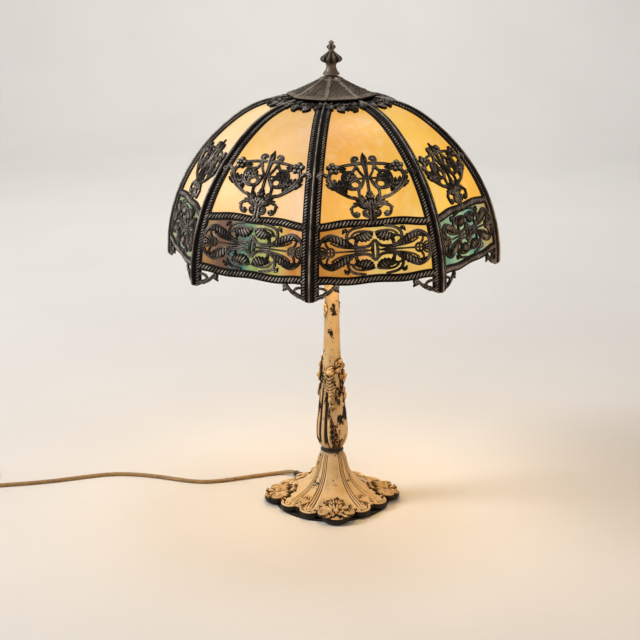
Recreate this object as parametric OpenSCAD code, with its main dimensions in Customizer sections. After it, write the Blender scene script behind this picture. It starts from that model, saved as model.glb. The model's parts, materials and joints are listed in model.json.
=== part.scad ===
/* [Shade] */
// Width of the shade across opposite ribs at the rim
shade_d = 410; // [380:2:450]
// Height of the shade's rim above the surface the lamp stands on
rim_z = 322; // [300:1:350]
// Radius of the steep lower sweep of each panel
sweep_low_r = 217; // [200:1:230]
// Radius of the tighter sweep over the shoulder
sweep_top_r = 109; // [95:1:115]
// Slope angle where the lower sweep passes into the shoulder
sweep_turn = 52; // [48:1:56]
// Turn of the shade on its seat, seen from above
shade_turn = -7; // [-22:1:22]
// Thickness of the bent glass
glass_t = 3; // [2:0.5:4]
// Thickness of the pierced metal overlay that lies on the glass
overlay_t = 2.5; // [1.5:0.5:3.5]
// Full width of a rib
rib_w = 20; // [16:1:24]
// Thickness of a rib's two strips
rib_t = 4; // [3:0.5:5]
// Width of a rib's raised centre ridge
ridge_w = 5; // [3:0.5:8]
// Width of the rope rails
rail_w = 10; // [7:0.5:12]

/* [Lamp] */
// Width of the base across opposite main lobes
base_d = 172; // [155:1:190]
// Height of the base, from the table to the collar
base_h = 68; // [60:1:80]
// Turn of the base, seen from above
base_turn = 4; // [-22:1:22]
// Thickness of the cast base's wall
base_wall = 3; // [2:0.5:4]
// Thickness of the felt pad
felt_t = 2; // [1:0.5:3]
// Height of the collar between base and stem
collar_h = 6; // [4:0.5:9]
// Widest radius of the stem's lower vase
vase_r = 19.8; // [17:0.1:23]
// Radius of the stem's upper tube
tube_r = 9.2; // [8.6:0.1:11.5]
// Thickness of the stem's wall
stem_wall = 2; // [1.5:0.25:2.5]
// Outer diameter of the threaded pipe and the riser
pipe_d = 10; // [9.5:0.1:10.4]
// Bore of the pipe, which the wires pass through
pipe_bore = 6.4; // [5:0.1:7]
// Diameter of the stud that the finial screws onto
stud_d = 6.2; // [5.5:0.1:6.6]

/* [Sockets] */
// Height of the cluster's centre, where the socket axes meet
cluster_z = 342; // [335:1:350]
// Tilt of each socket from upright
socket_tilt = 45; // [38:1:50]
// Outer radius of a socket's brass shell
socket_r = 19.3; // [18.5:0.1:20.5]
// Radius of a bulb's glass at its widest
bulb_r = 30; // [25:0.5:32]

/* [Cord] */
// Diameter of the cord
cord_d = 5; // [4.5:0.1:5.5]

/* [Hidden] */
NUM = [1, 2, 3, 4, 5, 6, 7, 8];
SHADE_NODES = ["upper_glass_1", "upper_glass_2", "upper_glass_3", "upper_glass_4",
    "upper_glass_5", "upper_glass_6", "upper_glass_7", "upper_glass_8",
    "lower_glass_1", "lower_glass_2", "lower_glass_3", "lower_glass_4",
    "lower_glass_5", "lower_glass_6", "lower_glass_7", "lower_glass_8",
    "rib_1", "rib_2", "rib_3", "rib_4", "rib_5", "rib_6", "rib_7", "rib_8",
    "filigree_1", "filigree_2", "filigree_3", "filigree_4",
    "filigree_5", "filigree_6", "filigree_7", "filigree_8",
    "glass_clips", "spider_plate", "crown_cap"];
LAMP_NODES = ["felt_pad", "base_casting", "bottom_nut", "center_pipe", "neck_collar",
    "stem_casting", "cluster_body", "riser_rod", "seat_washer", "finial",
    "socket_cap_1", "socket_cap_2", "socket_shell_1", "socket_shell_2",
    "socket_core_1", "socket_core_2", "socket_key_1", "socket_key_2",
    "bulb_1", "bulb_2"];
CORD_NODES = ["cord_bushing", "cord_lead", "cord_coil", "cord_tail", "plug"];

BRONZE = "#4a423b";
PEWTER = "#7d7468";
BRASS = "#a58a4c";
STEEL = "#8f8f8f";
CREAM = "#e2d6bd";
AMBER = "#f2b34c";
BAND_AMBER = "#c9892f";
PEACH = "#f4d8a6";
BAND_GREEN = "#6d8a63";

slip = 0.05;          // radial clearance of a running fit
fit_gap = 0.3;        // clearance of a loose hole round a rod
half = 22.5;          // half the angle that one of the eight panels takes
side_scale = 1 / cos(half);
far = 300;            // reaches past the shade in every direction

// ---- sweep of the panels: two arcs that meet in a common tangent ----
rim_apothem = shade_d / 2 * cos(half);
low_c = [rim_apothem - sweep_low_r, rim_z];
top_c = low_c + (sweep_low_r - sweep_top_r) * [cos(sweep_turn), sin(sweep_turn)];
crest_z = top_c[1] + sweep_top_r;
crest_r = top_c[0];
overlay_out = -2.5;                     // offsets from the ridge's crest line
overlay_back = overlay_out - overlay_t;
glass_back = overlay_back - glass_t;
foot_angle = -1.2;
glass_low_angle = 3.4;
rail_low_s = 18.7;                      // arc lengths above the rim
rail_mid_s = 78.5;
rail_wave = 4;
split_gap = 0.4;                        // between upper and lower panes
open_angle = 84.5;                      // where the panes stop, under the crown
lap = 0.3;                              // angle by which the two arcs overlap

function deg_of(s) = s / sweep_low_r * 180 / PI;
function z_of(s) = rim_z + sweep_low_r * sin(deg_of(s));
function on_sweep(a, off) = a <= sweep_turn
    ? low_c + (sweep_low_r + off) * [cos(a), sin(a)]
    : top_c + (sweep_top_r + off) * [cos(a), sin(a)];
function on_corner(a, off) = [on_sweep(a, off)[0] * side_scale, on_sweep(a, off)[1]];

// A slice of a ring between two angles, seen edge on
module arc_band(center, r, from, to, low_off, high_off) {
    mid = (from + to) / 2;
    intersection() {
        translate(center) difference() {
            circle(r + high_off, $fn = 96);
            circle(r + low_off, $fn = 96);
        }
        polygon([center, center + far * [cos(from), sin(from)],
            center + 2 * far * [cos(mid), sin(mid)], center + far * [cos(to), sin(to)]]);
    }
}

// Turns a section drawn as (radius, height) into a slab that faces -Y
module slab(width) {
    rotate([90, 0, -90]) linear_extrude(width, center = true) children();
}

// A layer of the panel, from one angle of the sweep to another
module panel_shell(from, to, low_off, high_off) {
    union() {
        if (from < sweep_turn) slab(far)
            arc_band(low_c, sweep_low_r, from, min(to, sweep_turn), low_off, high_off);
        if (to > sweep_turn) slab(far)
            arc_band(top_c, sweep_top_r, max(from, sweep_turn - lap), to, low_off, high_off);
    }
}

// The wedge that one panel takes, less a strip along each corner plane
module wedge(inset) {
    translate([0, -inset / sin(half), rim_z - 40]) linear_extrude(far)
        polygon([[0, 0], [far * tan(half), -far], [-far * tan(half), -far]]);
}

module pane(from, to) {
    intersection() {
        panel_shell(from, to, glass_back, overlay_back);
        wedge(1);
    }
}

module at_panel(i) {
    rotate([0, 0, shade_turn + half + 45 * (i - 1)]) children();
}

module at_rib(i) {
    rotate([0, 0, shade_turn + 45 * (i - 1)]) children();
}

module upper_glass(i) {
    tint = i <= 4 ? AMBER : PEACH;
    color(tint) at_panel(i) pane(deg_of(rail_mid_s + split_gap / 2), open_angle);
}

module lower_glass(i) {
    tint = (i % 2 == 0 || i == 7) ? BAND_GREEN : BAND_AMBER;
    color(tint) at_panel(i) pane(glass_low_angle, deg_of(rail_mid_s - split_gap / 2));
}

// ---- ribs, with their feet and foot brackets ----
ridge_steps = 22;

module ridge() {
    span = 90 - foot_angle;
    inner = [for (k = [0:ridge_steps]) on_corner(foot_angle + span * k / ridge_steps, overlay_back + 0.5)];
    outer = [for (k = [ridge_steps:-1:0]) on_corner(foot_angle + span * k / ridge_steps, 0)];
    slab(ridge_w) polygon(concat(inner, outer));
}

module rib_strip(side) {
    low_x = min(0, side * rib_w / 2);
    intersection() {
        rotate([0, 0, side * half])
            panel_shell(foot_angle, 90, overlay_back, overlay_back + rib_t);
        translate([low_x, -far, rim_z - 40]) cube([rib_w / 2, far, far]);
    }
}

// A scroll that braces the foot of the rib against the lower rail
bracket_reach = 24;

module foot_bracket(side) {
    edge = shade_d / 2 * sin(half) - rib_w / 2 / cos(half);
    rotate([0, 0, side * half]) intersection() {
        panel_shell(foot_angle, 12, overlay_back, overlay_out);
        rotate([90, 0, 0]) linear_extrude(far) difference() {
            translate([0, rim_z]) mirror([side > 0 ? 1 : 0, 0]) {
                stroke([edge + 1, 1], [edge - 12, 2], [edge - bracket_reach, 13.5], 7, 3.5);
                translate([edge - bracket_reach, 11]) circle(3.2, $fn = 24);
            }
            rail(rail_low_s, -rail_wave * 0.8);
        }
    }
}

module rib(i) {
    color(BRONZE) at_rib(i) intersection() {
        union() {
            rib_strip(-1);
            rib_strip(1);
            ridge();
            foot_bracket(-1);
            foot_bracket(1);
        }
        wedge(0);
    }
}

// ---- pierced overlay of one panel ----
function bezier(a, b, c, t) = (1 - t) * (1 - t) * a + 2 * t * (1 - t) * b + t * t * c;
function normal_at(a, b, c, t) =
    let (d = (1 - t) * (b - a) + t * (c - b), n = norm(d)) [-d[1], d[0]] / n;

// A curved bar that tapers from one width to another
module stroke(a, b, c, w0, w1, n = 6) {
    left = [for (k = [0:n]) let (t = k / n)
        bezier(a, b, c, t) + normal_at(a, b, c, t) * (w0 + (w1 - w0) * t) / 2];
    right = [for (k = [n:-1:0]) let (t = k / n)
        bezier(a, b, c, t) - normal_at(a, b, c, t) * (w0 + (w1 - w0) * t) / 2];
    polygon(concat(left, right));
}

module both() {
    children();
    mirror([1, 0]) children();
}

// Two low humps with a dip between, level at the ribs
function wave(t) = pow(1 - t * t, 3) * (0.6 + 7 * t * t);

module rail(s, bend) {
    reach = rim_apothem * tan(half) + 2;
    steps = 20;
    edge = [for (k = [0:steps]) let (t = 2 * k / steps - 1) [t * reach, z_of(s + bend * wave(t))]];
    back = [for (k = [steps:-1:0]) edge[k] - [0, rail_w / 2]];
    polygon(concat([for (p = edge) p + [0, rail_w / 2]], back));
}

// Four leaf scrolls round a spearhead, with a palmette roundel at each end
module band_pattern() {
    mid = (rail_low_s + rail_mid_s) / 2;
    translate([0, z_of(mid)]) {
        polygon([[-3, -10], [3, -10], [8, 0], [2, 12], [-2, 12], [-8, 0]]);
        translate([-1.5, -27]) square([3, 54]);
        both() {
            for (tall = [-1, 1]) {
                translate([14, tall * 17]) circle(9, $fn = 32);
                stroke([14, tall * 26], [32, tall * 26], [31, tall * 14], 5, 4);
                stroke([31, tall * 16], [28, tall * 4], [8, tall * 2], 4, 4);
            }
            translate([53, 0]) difference() {
                circle(15.5, $fn = 48);
                circle(11.5, $fn = 48);
            }
            stroke([4, 0], [40, 0], [72, 0], 7, 5);
        }
    }
}

// A two-handled vase of scrolls and flowers that stands on the middle rail
vase_s = 120;

module vase_pattern() {
    stroke([0, -40], [0, -15], [0, 30], 9, 3);
    polygon([[-2, 28], [-4, 36], [0, 44], [4, 36], [2, 28]]);
    both() {
        translate([13, -30]) difference() {
            circle(11, $fn = 32);
            circle(8, $fn = 32);
        }
        stroke([0, -18], [26, -14], [45, 7], 7, 4);
        stroke([3, -14], [14, 2], [11, 30], 4, 4);
        stroke([11, 28], [22, 30], [38, 27], 4, 4);
        stroke([45, 7], [44, 17], [38, 27], 5, 4);
        stroke([0, 25], [7, 27], [9, 33], 3, 3);
        translate([8.5, 35]) circle(4, $fn = 24);
        translate([39, 27]) circle(6.5, $fn = 32);
        translate([24, 14]) circle(8, $fn = 32);
        stroke([11, 8], [18, 4], [26, 10], 4, 4);
        stroke([43, 14], [52, 18], [64, 14], 4, 8);
    }
}

// A short fringe of leaves under the crown
crest_s = 236;

module crest_pattern() {
    stroke([-32, 11], [0, 11], [32, 11], 19, 19);
    for (k = [-1, 0, 1]) translate([k * 14, k == 0 ? -2 : 3]) circle(k == 0 ? 8 : 6, $fn = 32);
}

// Stands a flat pattern on the sweep at one angle and drives it through
module on_panel(a) {
    p = on_sweep(a, 0);
    translate([0, -p[0], p[1]]) rotate([90 - a, 0, 0])
        translate([0, 0, -24]) linear_extrude(30) children();
}

module filigree(i) {
    crest_a = sweep_turn + (crest_s - sweep_low_r * sweep_turn * PI / 180) / sweep_top_r * 180 / PI;
    color(BRONZE) at_panel(i) union() {
        intersection() {
            panel_shell(glass_low_angle - 1.2, sweep_turn, overlay_back, overlay_out);
            wedge(rib_w / 2);
            union() {
                rotate([90, 0, 0]) linear_extrude(far) {
                    rail(rail_low_s, -rail_wave * 0.8);
                    rail(rail_mid_s, rail_wave);
                    band_pattern();
                }
                on_panel(deg_of(vase_s)) vase_pattern();
            }
        }
        intersection() {
            panel_shell(crest_a - 12, open_angle, overlay_back, overlay_out);
            wedge(rib_w / 2);
            on_panel(crest_a) crest_pattern();
        }
    }
}

// ---- clips that hold the panes against the ribs ----
clip_r = 5;
clip_t = 1;
pin_r = 0.6;
clip_angles = [14, 40, 66];

module clip(a) {
    p = on_corner(a, overlay_back);
    drop = (overlay_back - glass_back) + clip_r * tan(half) * 1.1;
    translate([0, -p[0], p[1]]) rotate([90 - a, 0, 0]) {
        translate([0, 0, -drop - clip_t]) cylinder(r = clip_r, h = clip_t, $fn = 32);
        translate([0, 0, -drop])
            cylinder(r = pin_r, h = drop - pin_r * tan(half) * cos(a) - slip, $fn = 16);
    }
}

module glass_clips() {
    color(BRASS) for (i = NUM) at_rib(i) for (a = clip_angles) clip(a);
}

// ---- crown ----
spider_t = 3;
spider_r = crest_r * side_scale + 1;
spider_top = crest_z + overlay_back;
cap_rim = crest_r + 10;
cap_lip = 3;
cap_h = 23;
cap_wall = 2.5;
cap_top = crest_z + cap_h;
stud_hole_r = stud_d / 2 + fit_gap;

module spider_plate() {
    color(BRASS) translate([0, 0, spider_z]) difference() {
        cylinder(r = spider_r, h = spider_t, $fn = 96);
        translate([0, 0, -1]) cylinder(r = stud_hole_r, h = spider_t + 2, $fn = 32);
    }
}

// A low eight-sided roof, cut from four crossing slabs of one section
module roof(shrink) {
    w = cap_rim - shrink;
    peak = cap_h - shrink;
    section = [[-w, -1], [w, -1], [w, cap_lip - shrink * 0.6], [w * 0.62, cap_h * 0.42 - shrink],
        [12, peak - 1], [8, peak], [-8, peak], [-12, peak - 1],
        [-w * 0.62, cap_h * 0.42 - shrink], [-w, cap_lip - shrink * 0.6]];
    intersection_for (k = [0:3]) rotate([0, 0, 45 * k]) slab(far) polygon(section);
}

module crown_cap() {
    color(PEWTER) at_panel(1) translate([0, 0, crest_z]) difference() {
        intersection() {
            roof(0);
            cylinder(r = 80, h = 60);
        }
        roof(cap_wall);
        translate([0, 0, -2]) cylinder(r = stud_hole_r, h = cap_h + 4, $fn = 32);
    }
}

// ---- base, stem and collar ----
main_lobe_r = 17;
minor_lobe_r = 14;
minor_lobe_at = base_d / 2 - 25;
rim_h = 8;
collar_r = 12;
pipe_r = pipe_d / 2;
collar_z = base_h;
stem_z = base_h + collar_h;

module base_outline() {
    circle(base_d / 2 - 20, $fn = 96);
    for (k = [0:3]) rotate(90 * k) {
        translate([0, -(base_d / 2 - main_lobe_r)]) circle(main_lobe_r, $fn = 48);
        for (side = [-1, 1]) rotate(30 * side)
            translate([0, -minor_lobe_at]) circle(minor_lobe_r, $fn = 48);
    }
}

// Half section of the trumpet from its neck down to the rim
function trumpet(inset) = let (w = base_d / 2) [
    [14 - inset, base_h], [16.5 - inset, base_h - 5], [18.8 - inset, base_h - 12],
    [21 - inset, base_h - 22], [25 - inset, base_h - 31], [31 - inset, base_h - 39],
    [40 - inset, base_h - 47], [52 - inset, max(base_h - 53.5, felt_t + rim_h + 1)],
    [w - 22 - inset, felt_t + rim_h - inset * 0.6]];

module base_casting() {
    floor_z = felt_t;
    cavity_top = base_h - 26;
    color(CREAM) rotate([0, 0, base_turn]) difference() {
        union() {
            translate([0, 0, floor_z]) linear_extrude(rim_h) base_outline();
            rotate_extrude($fn = 96) polygon(concat([[0, base_h]], trumpet(0),
                [[base_d / 2 - 22, floor_z + 1], [0, floor_z + 1]]));
        }
        intersection() {
            rotate_extrude($fn = 96) polygon(concat([[0, base_h]], trumpet(base_wall),
                [[base_d / 2 - 22 - base_wall, floor_z - 1], [0, floor_z - 1]]));
            translate([0, 0, floor_z - 1]) cylinder(r = base_d, h = cavity_top - floor_z + 1);
        }
        translate([0, 0, cavity_top - 1]) cylinder(r = pipe_r + fit_gap, h = base_h, $fn = 48);
        rotate([0, 0, -base_turn]) bushing_place()
            translate([0, 0, -bushing_in]) cylinder(r = bushing_r + slip, h = 40, $fn = 48);
    }
}

module felt_pad() {
    color("#2f3a2c") rotate([0, 0, base_turn]) linear_extrude(felt_t)
        circle(base_d / 2 - 14, $fn = 96);
}

nut_h = 6;
washer_t = 2;
nut_z = base_h - 26 - washer_t - nut_h;

module bottom_nut() {
    color(STEEL) difference() {
        union() {
            translate([0, 0, nut_z + nut_h]) cylinder(r = 13, h = washer_t, $fn = 48);
            translate([0, 0, nut_z]) cylinder(r = 9, h = nut_h, $fn = 6);
        }
        translate([0, 0, nut_z - 1]) cylinder(r = pipe_r + slip, h = nut_h + washer_t + 2, $fn = 48);
    }
}

module center_pipe() {
    bottom = nut_z - 4;
    color(BRASS) translate([0, 0, bottom]) difference() {
        cylinder(d = pipe_d, h = pipe_top - bottom, $fn = 48);
        translate([0, 0, -1]) cylinder(d = pipe_bore, h = pipe_top - bottom + 2, $fn = 32);
    }
}

module neck_collar() {
    h = collar_h;
    color(BRONZE) translate([0, 0, collar_z]) difference() {
        rotate_extrude($fn = 64) polygon([[0, 0], [collar_r + 1.5, 0], [collar_r + 1.5, h * 0.2],
            [collar_r - 1, h * 0.4], [collar_r - 1, h * 0.6], [collar_r + 1, h * 0.8],
            [collar_r + 1, h], [0, h]]);
        translate([0, 0, -1]) cylinder(r = pipe_r + fit_gap, h = h + 2, $fn = 48);
    }
}

// Half section of the stem: a vase below, a plain tube above
function stem_section(inset) = let (h = cluster_low - stem_z) [
    [14 - inset, 0], [vase_r - 3.2 - inset, h * 0.017], [vase_r - 1 - inset, h * 0.04],
    [vase_r - inset, h * 0.08], [vase_r - 0.7 - inset, h * 0.125], [vase_r - 3 - inset, h * 0.215],
    [vase_r - 5.1 - inset, h * 0.285], [tube_r + 4 - inset, h * 0.345], [tube_r + 2.8 - inset, h * 0.4],
    [tube_r + 1.6 - inset, h * 0.475], [tube_r + 0.6 - inset, h * 0.57], [tube_r - inset, h * 0.73],
    [tube_r - inset, h]];

module stem_casting() {
    h = cluster_low - stem_z;
    color(CREAM) translate([0, 0, stem_z]) difference() {
        rotate_extrude($fn = 96) polygon(concat([[0, 0]], stem_section(0), [[0, h]]));
        intersection() {
            rotate_extrude($fn = 96) polygon(concat([[0, 0]], stem_section(stem_wall), [[0, h]]));
            translate([0, 0, 4]) cylinder(r = 40, h = h - 8);
        }
        translate([0, 0, -1]) cylinder(r = pipe_r + fit_gap, h = h + 2, $fn = 48);
    }
}

// ---- cluster, riser and finial ----
cluster_r = 14;
cluster_h = 26;
cluster_low = cluster_z - 12;
cluster_top = cluster_low + cluster_h;
pipe_top = cluster_low + 10;
riser_low = cluster_top - 10;
boss_end = 18;
nipple_end = 25;
nipple_r = 4.8;

// Stands a socket piece on its tilted axis, out from the cluster's centre
module on_socket(i) {
    translate([0, 0, cluster_z]) rotate([0, (i == 1 ? 1 : -1) * socket_tilt, 0]) children();
}

module cluster_body() {
    color(BRASS) difference() {
        union() {
            translate([0, 0, cluster_low]) cylinder(r = cluster_r, h = cluster_h, $fn = 64);
            for (i = [1, 2]) on_socket(i) {
                cylinder(r = 8, h = boss_end, $fn = 48);
                cylinder(r = nipple_r, h = nipple_end, $fn = 48);
            }
        }
        translate([0, 0, cluster_low - 1])
            cylinder(r = pipe_r + slip, h = pipe_top - cluster_low + 1, $fn = 48);
        translate([0, 0, riser_low]) cylinder(r = pipe_r + slip, h = far, $fn = 48);
    }
}

washer_h = 3.6;
spider_z = spider_top - spider_t;
seat_z = spider_z - washer_h;
seat_nut_h = 4.5;
stud_top = cap_top + 19;

module riser_rod() {
    color(BRASS) union() {
        translate([0, 0, riser_low]) cylinder(d = pipe_d, h = spider_z - riser_low, $fn = 48);
        translate([0, 0, spider_z]) cylinder(d = stud_d, h = stud_top - spider_z, $fn = 48);
        translate([0, 0, seat_z - seat_nut_h]) cylinder(r = 9, h = seat_nut_h, $fn = 6);
    }
}

module seat_washer() {
    color(STEEL) translate([0, 0, seat_z]) difference() {
        cylinder(r = 15, h = washer_h, $fn = 64);
        translate([0, 0, -1]) cylinder(r = pipe_r + slip, h = washer_h + 2, $fn = 48);
    }
}

finial_h = 40;

module finial() {
    h = finial_h;
    color(PEWTER) translate([0, 0, cap_top]) difference() {
        rotate_extrude($fn = 64) polygon([[0, 0], [10, 0], [10, 1.5], [7.8, h * 0.1], [6.2, h * 0.2],
            [6.2, h * 0.28], [11, h * 0.33], [13.2, h * 0.39], [13.2, h * 0.46], [10, h * 0.52],
            [6.6, h * 0.6], [4.6, h * 0.7], [3.8, h * 0.74], [5.2, h * 0.78], [5.2, h * 0.86],
            [2.6, h * 0.9], [2.8, h * 0.96], [1.2, h], [0, h]]);
        translate([0, 0, -1]) cylinder(r = stud_d / 2 + slip, h = stud_top - cap_top + 2, $fn = 32);
    }
}

// ---- sockets and bulbs, along their own axis ----
cap_end = 36;
shell_end = 68;
core_start = 37;
core_end = 66;
screw_r = 13.4;
screw_floor = 43;
key_at = 52;
key_r = 2;

module socket_cap(i) {
    color(BRASS) on_socket(i) difference() {
        rotate_extrude($fn = 64) polygon([[0, boss_end], [8, boss_end], [8, boss_end + 6],
            [socket_r - 4, cap_end - 9], [socket_r, cap_end - 4], [socket_r, cap_end], [0, cap_end]]);
        rotate_extrude($fn = 64) polygon([[0, nipple_end + 2], [socket_r - 6, cap_end - 7],
            [socket_r - 1.2, cap_end - 2], [socket_r - 1.2, cap_end + 1], [0, cap_end + 1]]);
        translate([0, 0, boss_end - 1]) cylinder(r = nipple_r + slip, h = 20, $fn = 48);
    }
}

module socket_shell(i) {
    color(BRASS) on_socket(i) difference() {
        translate([0, 0, cap_end]) cylinder(r = socket_r, h = shell_end - cap_end, $fn = 64);
        translate([0, 0, cap_end - 1])
            cylinder(r = socket_r - 1.2, h = shell_end - cap_end + 2, $fn = 64);
        key_place() cylinder(r = key_r + slip, h = 40, $fn = 32);
    }
}

module socket_core(i) {
    color("#d9d2c4") on_socket(i) difference() {
        translate([0, 0, core_start])
            cylinder(r = socket_r - 1.2 - fit_gap / 2, h = core_end - core_start, $fn = 64);
        translate([0, 0, screw_floor]) cylinder(r = screw_r, h = 40, $fn = 64);
        key_place() translate([0, 0, screw_r + 1.2]) cylinder(r = key_r + slip, h = 10, $fn = 32);
    }
}

// The turn key points across the socket's axis
module key_place() {
    translate([0, 0, key_at]) rotate([90, 0, 0]) children();
}

module socket_key(i) {
    stem_from = screw_r + 2.6;
    color("#3a2f28") on_socket(i) key_place() union() {
        translate([0, 0, stem_from]) cylinder(r = key_r, h = 12, $fn = 32);
        translate([-5.5, -1.2, stem_from + 10]) cube([11, 2.4, 9]);
    }
}

module bulb(i) {
    color("#f6efdc") on_socket(i) union() {
        translate([0, 0, screw_floor + 1])
            cylinder(r = screw_r - slip * 2, h = core_end - screw_floor, $fn = 64);
        rotate_extrude($fn = 64) polygon([[0, core_end + 0.5], [screw_r, core_end + 0.5],
            [screw_r + 1.5, core_end + 12], [bulb_r * 0.72, core_end + 28], [bulb_r * 0.94, core_end + 40],
            [bulb_r, core_end + 52], [bulb_r * 0.93, core_end + 64], [bulb_r * 0.7, core_end + 74],
            [bulb_r * 0.36, core_end + 80], [0, core_end + 82]]);
    }
}

// ---- cord, bushing and plug ----
cord_r = cord_d / 2;
bushing_az = -146;      // azimuth of the cord's hole, from the front and seen from above
bushing_z = 6.5;
bushing_at = 74;        // distance of the bushing's outer shoulder from the lamp's axis
bushing_r = 3.9;
bushing_in = 12;
bushing_out = 12;

coil_at = [-485, 70];
coil_mid_r = 28.5;
coil_wide = 15;
coil_high = 15;
plug_start = [-522, 98, 8];
plug_size = [21, 26, 16];
blade = [1.5, 17, 6.3];
blade_gap = 12.7;

LEAD = [[-48.1, 71.3, 6.5], [-52, 76.5, 6], [-59, 80.5, 4.6], [-68, 81.5, 3.1], [-80, 79, 2.5],
    [-94, 74, 2.5], [-111, 68, 2.5], [-129, 61, 2.5], [-147, 55, 2.5], [-165, 52, 2.5],
    [-184, 54, 2.5], [-203, 60, 2.5], [-222, 67, 2.5], [-241, 73, 2.5], [-260, 77, 2.5],
    [-281, 79, 2.5], [-305, 76, 2.5], [-333, 67, 2.5], [-362, 57, 2.5], [-392, 49, 2.5],
    [-422, 43, 2.5], [-450, 38, 2.5], [-478, 36.5, 2.5]];
TAIL = [[-518.5, 68, 7.5], [-519, 76, 7.5], [-520.5, 86, 7.7], [-522, 93, 8], [-522, 98, 8]];

module bushing_place() {
    rotate([0, 0, bushing_az]) translate([0, -bushing_at, bushing_z]) rotate([90, 0, 0]) children();
}

module cord_bushing() {
    color("#2b2420") bushing_place() difference() {
        union() {
            translate([0, 0, -bushing_in]) cylinder(r = bushing_r, h = bushing_in, $fn = 48);
            rotate_extrude($fn = 48) polygon([[0, 0], [5.2, 0], [5.2, 2], [4.4, 2.4],
                [3.4, bushing_out], [0, bushing_out]]);
        }
        translate([0, 0, -bushing_in - 1])
            cylinder(r = cord_r, h = bushing_in + bushing_out + 2, $fn = 32);
    }
}

function tangent(p, k) = let (a = p[max(k - 1, 0)], b = p[min(k + 1, len(p) - 1)]) (b - a) / norm(b - a);
function catmull(p, k, t) = let (n = len(p) - 1, a = p[max(k - 1, 0)], b = p[k],
    c = p[min(k + 1, n)], d = p[min(k + 2, n)])
    0.5 * (2 * b + (c - a) * t + (2 * a - 5 * b + 4 * c - d) * t * t
        + (3 * b - a - 3 * c + d) * t * t * t);
function smooth(p, per) = concat([for (k = [0:len(p) - 2]) for (j = [0:per - 1])
    catmull(p, k, j / per)], [p[len(p) - 1]]);

// A round tube swept along a list of points, which all lie nearly level
module swept_tube(p, r, sides = 8) {
    n = len(p);
    ring = [for (k = [0:n - 1]) let (d = tangent(p, k), flat = norm([d[0], d[1]]),
        across = [-d[1], d[0], 0] / flat, up = cross(d, across))
        for (j = [0:sides - 1]) let (a = 360 * (j + 0.5) / sides)
            p[k] + r * (cos(a) * across + sin(a) * up)];
    walls = [for (k = [0:n - 2]) for (j = [0:sides - 1]) let (next = (j + 1) % sides)
        [k * sides + j, k * sides + next, (k + 1) * sides + next, (k + 1) * sides + j]];
    first = [for (j = [sides - 1:-1:0]) j];
    last = [for (j = [0:sides - 1]) (n - 1) * sides + j];
    polyhedron(points = ring, faces = concat([first, last], walls), convexity = 10);
}

module cord_lead() {
    color("#a9853f") swept_tube(smooth(LEAD, 2), cord_r);
}

module cord_coil() {
    color("#a9853f") translate([coil_at[0], coil_at[1], 0]) rotate_extrude($fn = 64)
        translate([coil_mid_r - coil_wide / 2, 0]) square([coil_wide, coil_high]);
}

module cord_tail() {
    color("#a9853f") swept_tube(smooth(TAIL, 2), cord_r);
}

module plug() {
    tip = plug_start[1] + plug_size[1];
    color("#7c5f2c") translate([plug_start[0] - plug_size[0] / 2, plug_start[1], 0]) cube(plug_size);
    color(BRASS) for (side = [-1, 1])
        translate([plug_start[0] + side * blade_gap / 2, tip + (blade[1] - 1) / 2, plug_start[2]])
            cube(blade + [0, 1, 0], center = true);
}

for (i = NUM) {
    upper_glass(i);
    lower_glass(i);
    rib(i);
    filigree(i);
}
for (i = [1, 2]) {
    socket_cap(i);
    socket_shell(i);
    socket_core(i);
    socket_key(i);
    bulb(i);
}
glass_clips();
spider_plate();
crown_cap();
felt_pad();
base_casting();
bottom_nut();
center_pipe();
neck_collar();
stem_casting();
cluster_body();
riser_rod();
seat_washer();
finial();
cord_bushing();
cord_lead();
cord_coil();
cord_tail();
plug();
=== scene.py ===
"""A bent-panel stained glass table lamp, built around the frame as a Blender add-on."""
import json
import math

import bmesh
import bpy
import numpy as np
from bpy.props import FloatProperty, FloatVectorProperty, PointerProperty
from mathutils import Matrix, Vector

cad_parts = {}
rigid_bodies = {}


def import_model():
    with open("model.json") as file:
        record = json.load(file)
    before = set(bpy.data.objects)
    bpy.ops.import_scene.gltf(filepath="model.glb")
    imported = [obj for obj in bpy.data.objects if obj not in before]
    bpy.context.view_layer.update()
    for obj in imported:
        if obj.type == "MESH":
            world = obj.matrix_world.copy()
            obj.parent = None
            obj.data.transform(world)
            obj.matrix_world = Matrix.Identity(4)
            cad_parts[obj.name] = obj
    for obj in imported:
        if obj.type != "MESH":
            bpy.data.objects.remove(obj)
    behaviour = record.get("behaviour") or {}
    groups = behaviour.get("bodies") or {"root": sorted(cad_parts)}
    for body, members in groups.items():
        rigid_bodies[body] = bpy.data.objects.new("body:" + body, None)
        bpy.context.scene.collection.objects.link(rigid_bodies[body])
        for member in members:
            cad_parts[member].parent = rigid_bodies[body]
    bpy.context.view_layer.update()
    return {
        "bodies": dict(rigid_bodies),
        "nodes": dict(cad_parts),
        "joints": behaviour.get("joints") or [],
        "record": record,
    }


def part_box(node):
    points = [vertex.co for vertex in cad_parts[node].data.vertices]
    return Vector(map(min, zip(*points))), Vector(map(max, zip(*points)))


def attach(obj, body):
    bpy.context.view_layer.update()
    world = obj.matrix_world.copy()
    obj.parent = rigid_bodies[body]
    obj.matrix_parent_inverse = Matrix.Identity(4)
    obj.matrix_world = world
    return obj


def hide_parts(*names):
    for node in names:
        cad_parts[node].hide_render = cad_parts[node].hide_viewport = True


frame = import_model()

bl_info = {
    "name": "Bent-Panel Table Lamp",
    "version": (1, 0, 0),
    "blender": (4, 5, 0),
    "location": "View3D > Sidebar > Lamp",
    "description": "Makes the finished surfaces of a bent-panel stained glass table lamp",
    "category": "Object",
}

MM = 0.001
TURN = 2 * math.pi
PANELS = 8
HALF = math.pi / PANELS            # half the angle that one panel takes
SOCKETS = (1, 2)


# ---------------------------------------------------------------- settings

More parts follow.
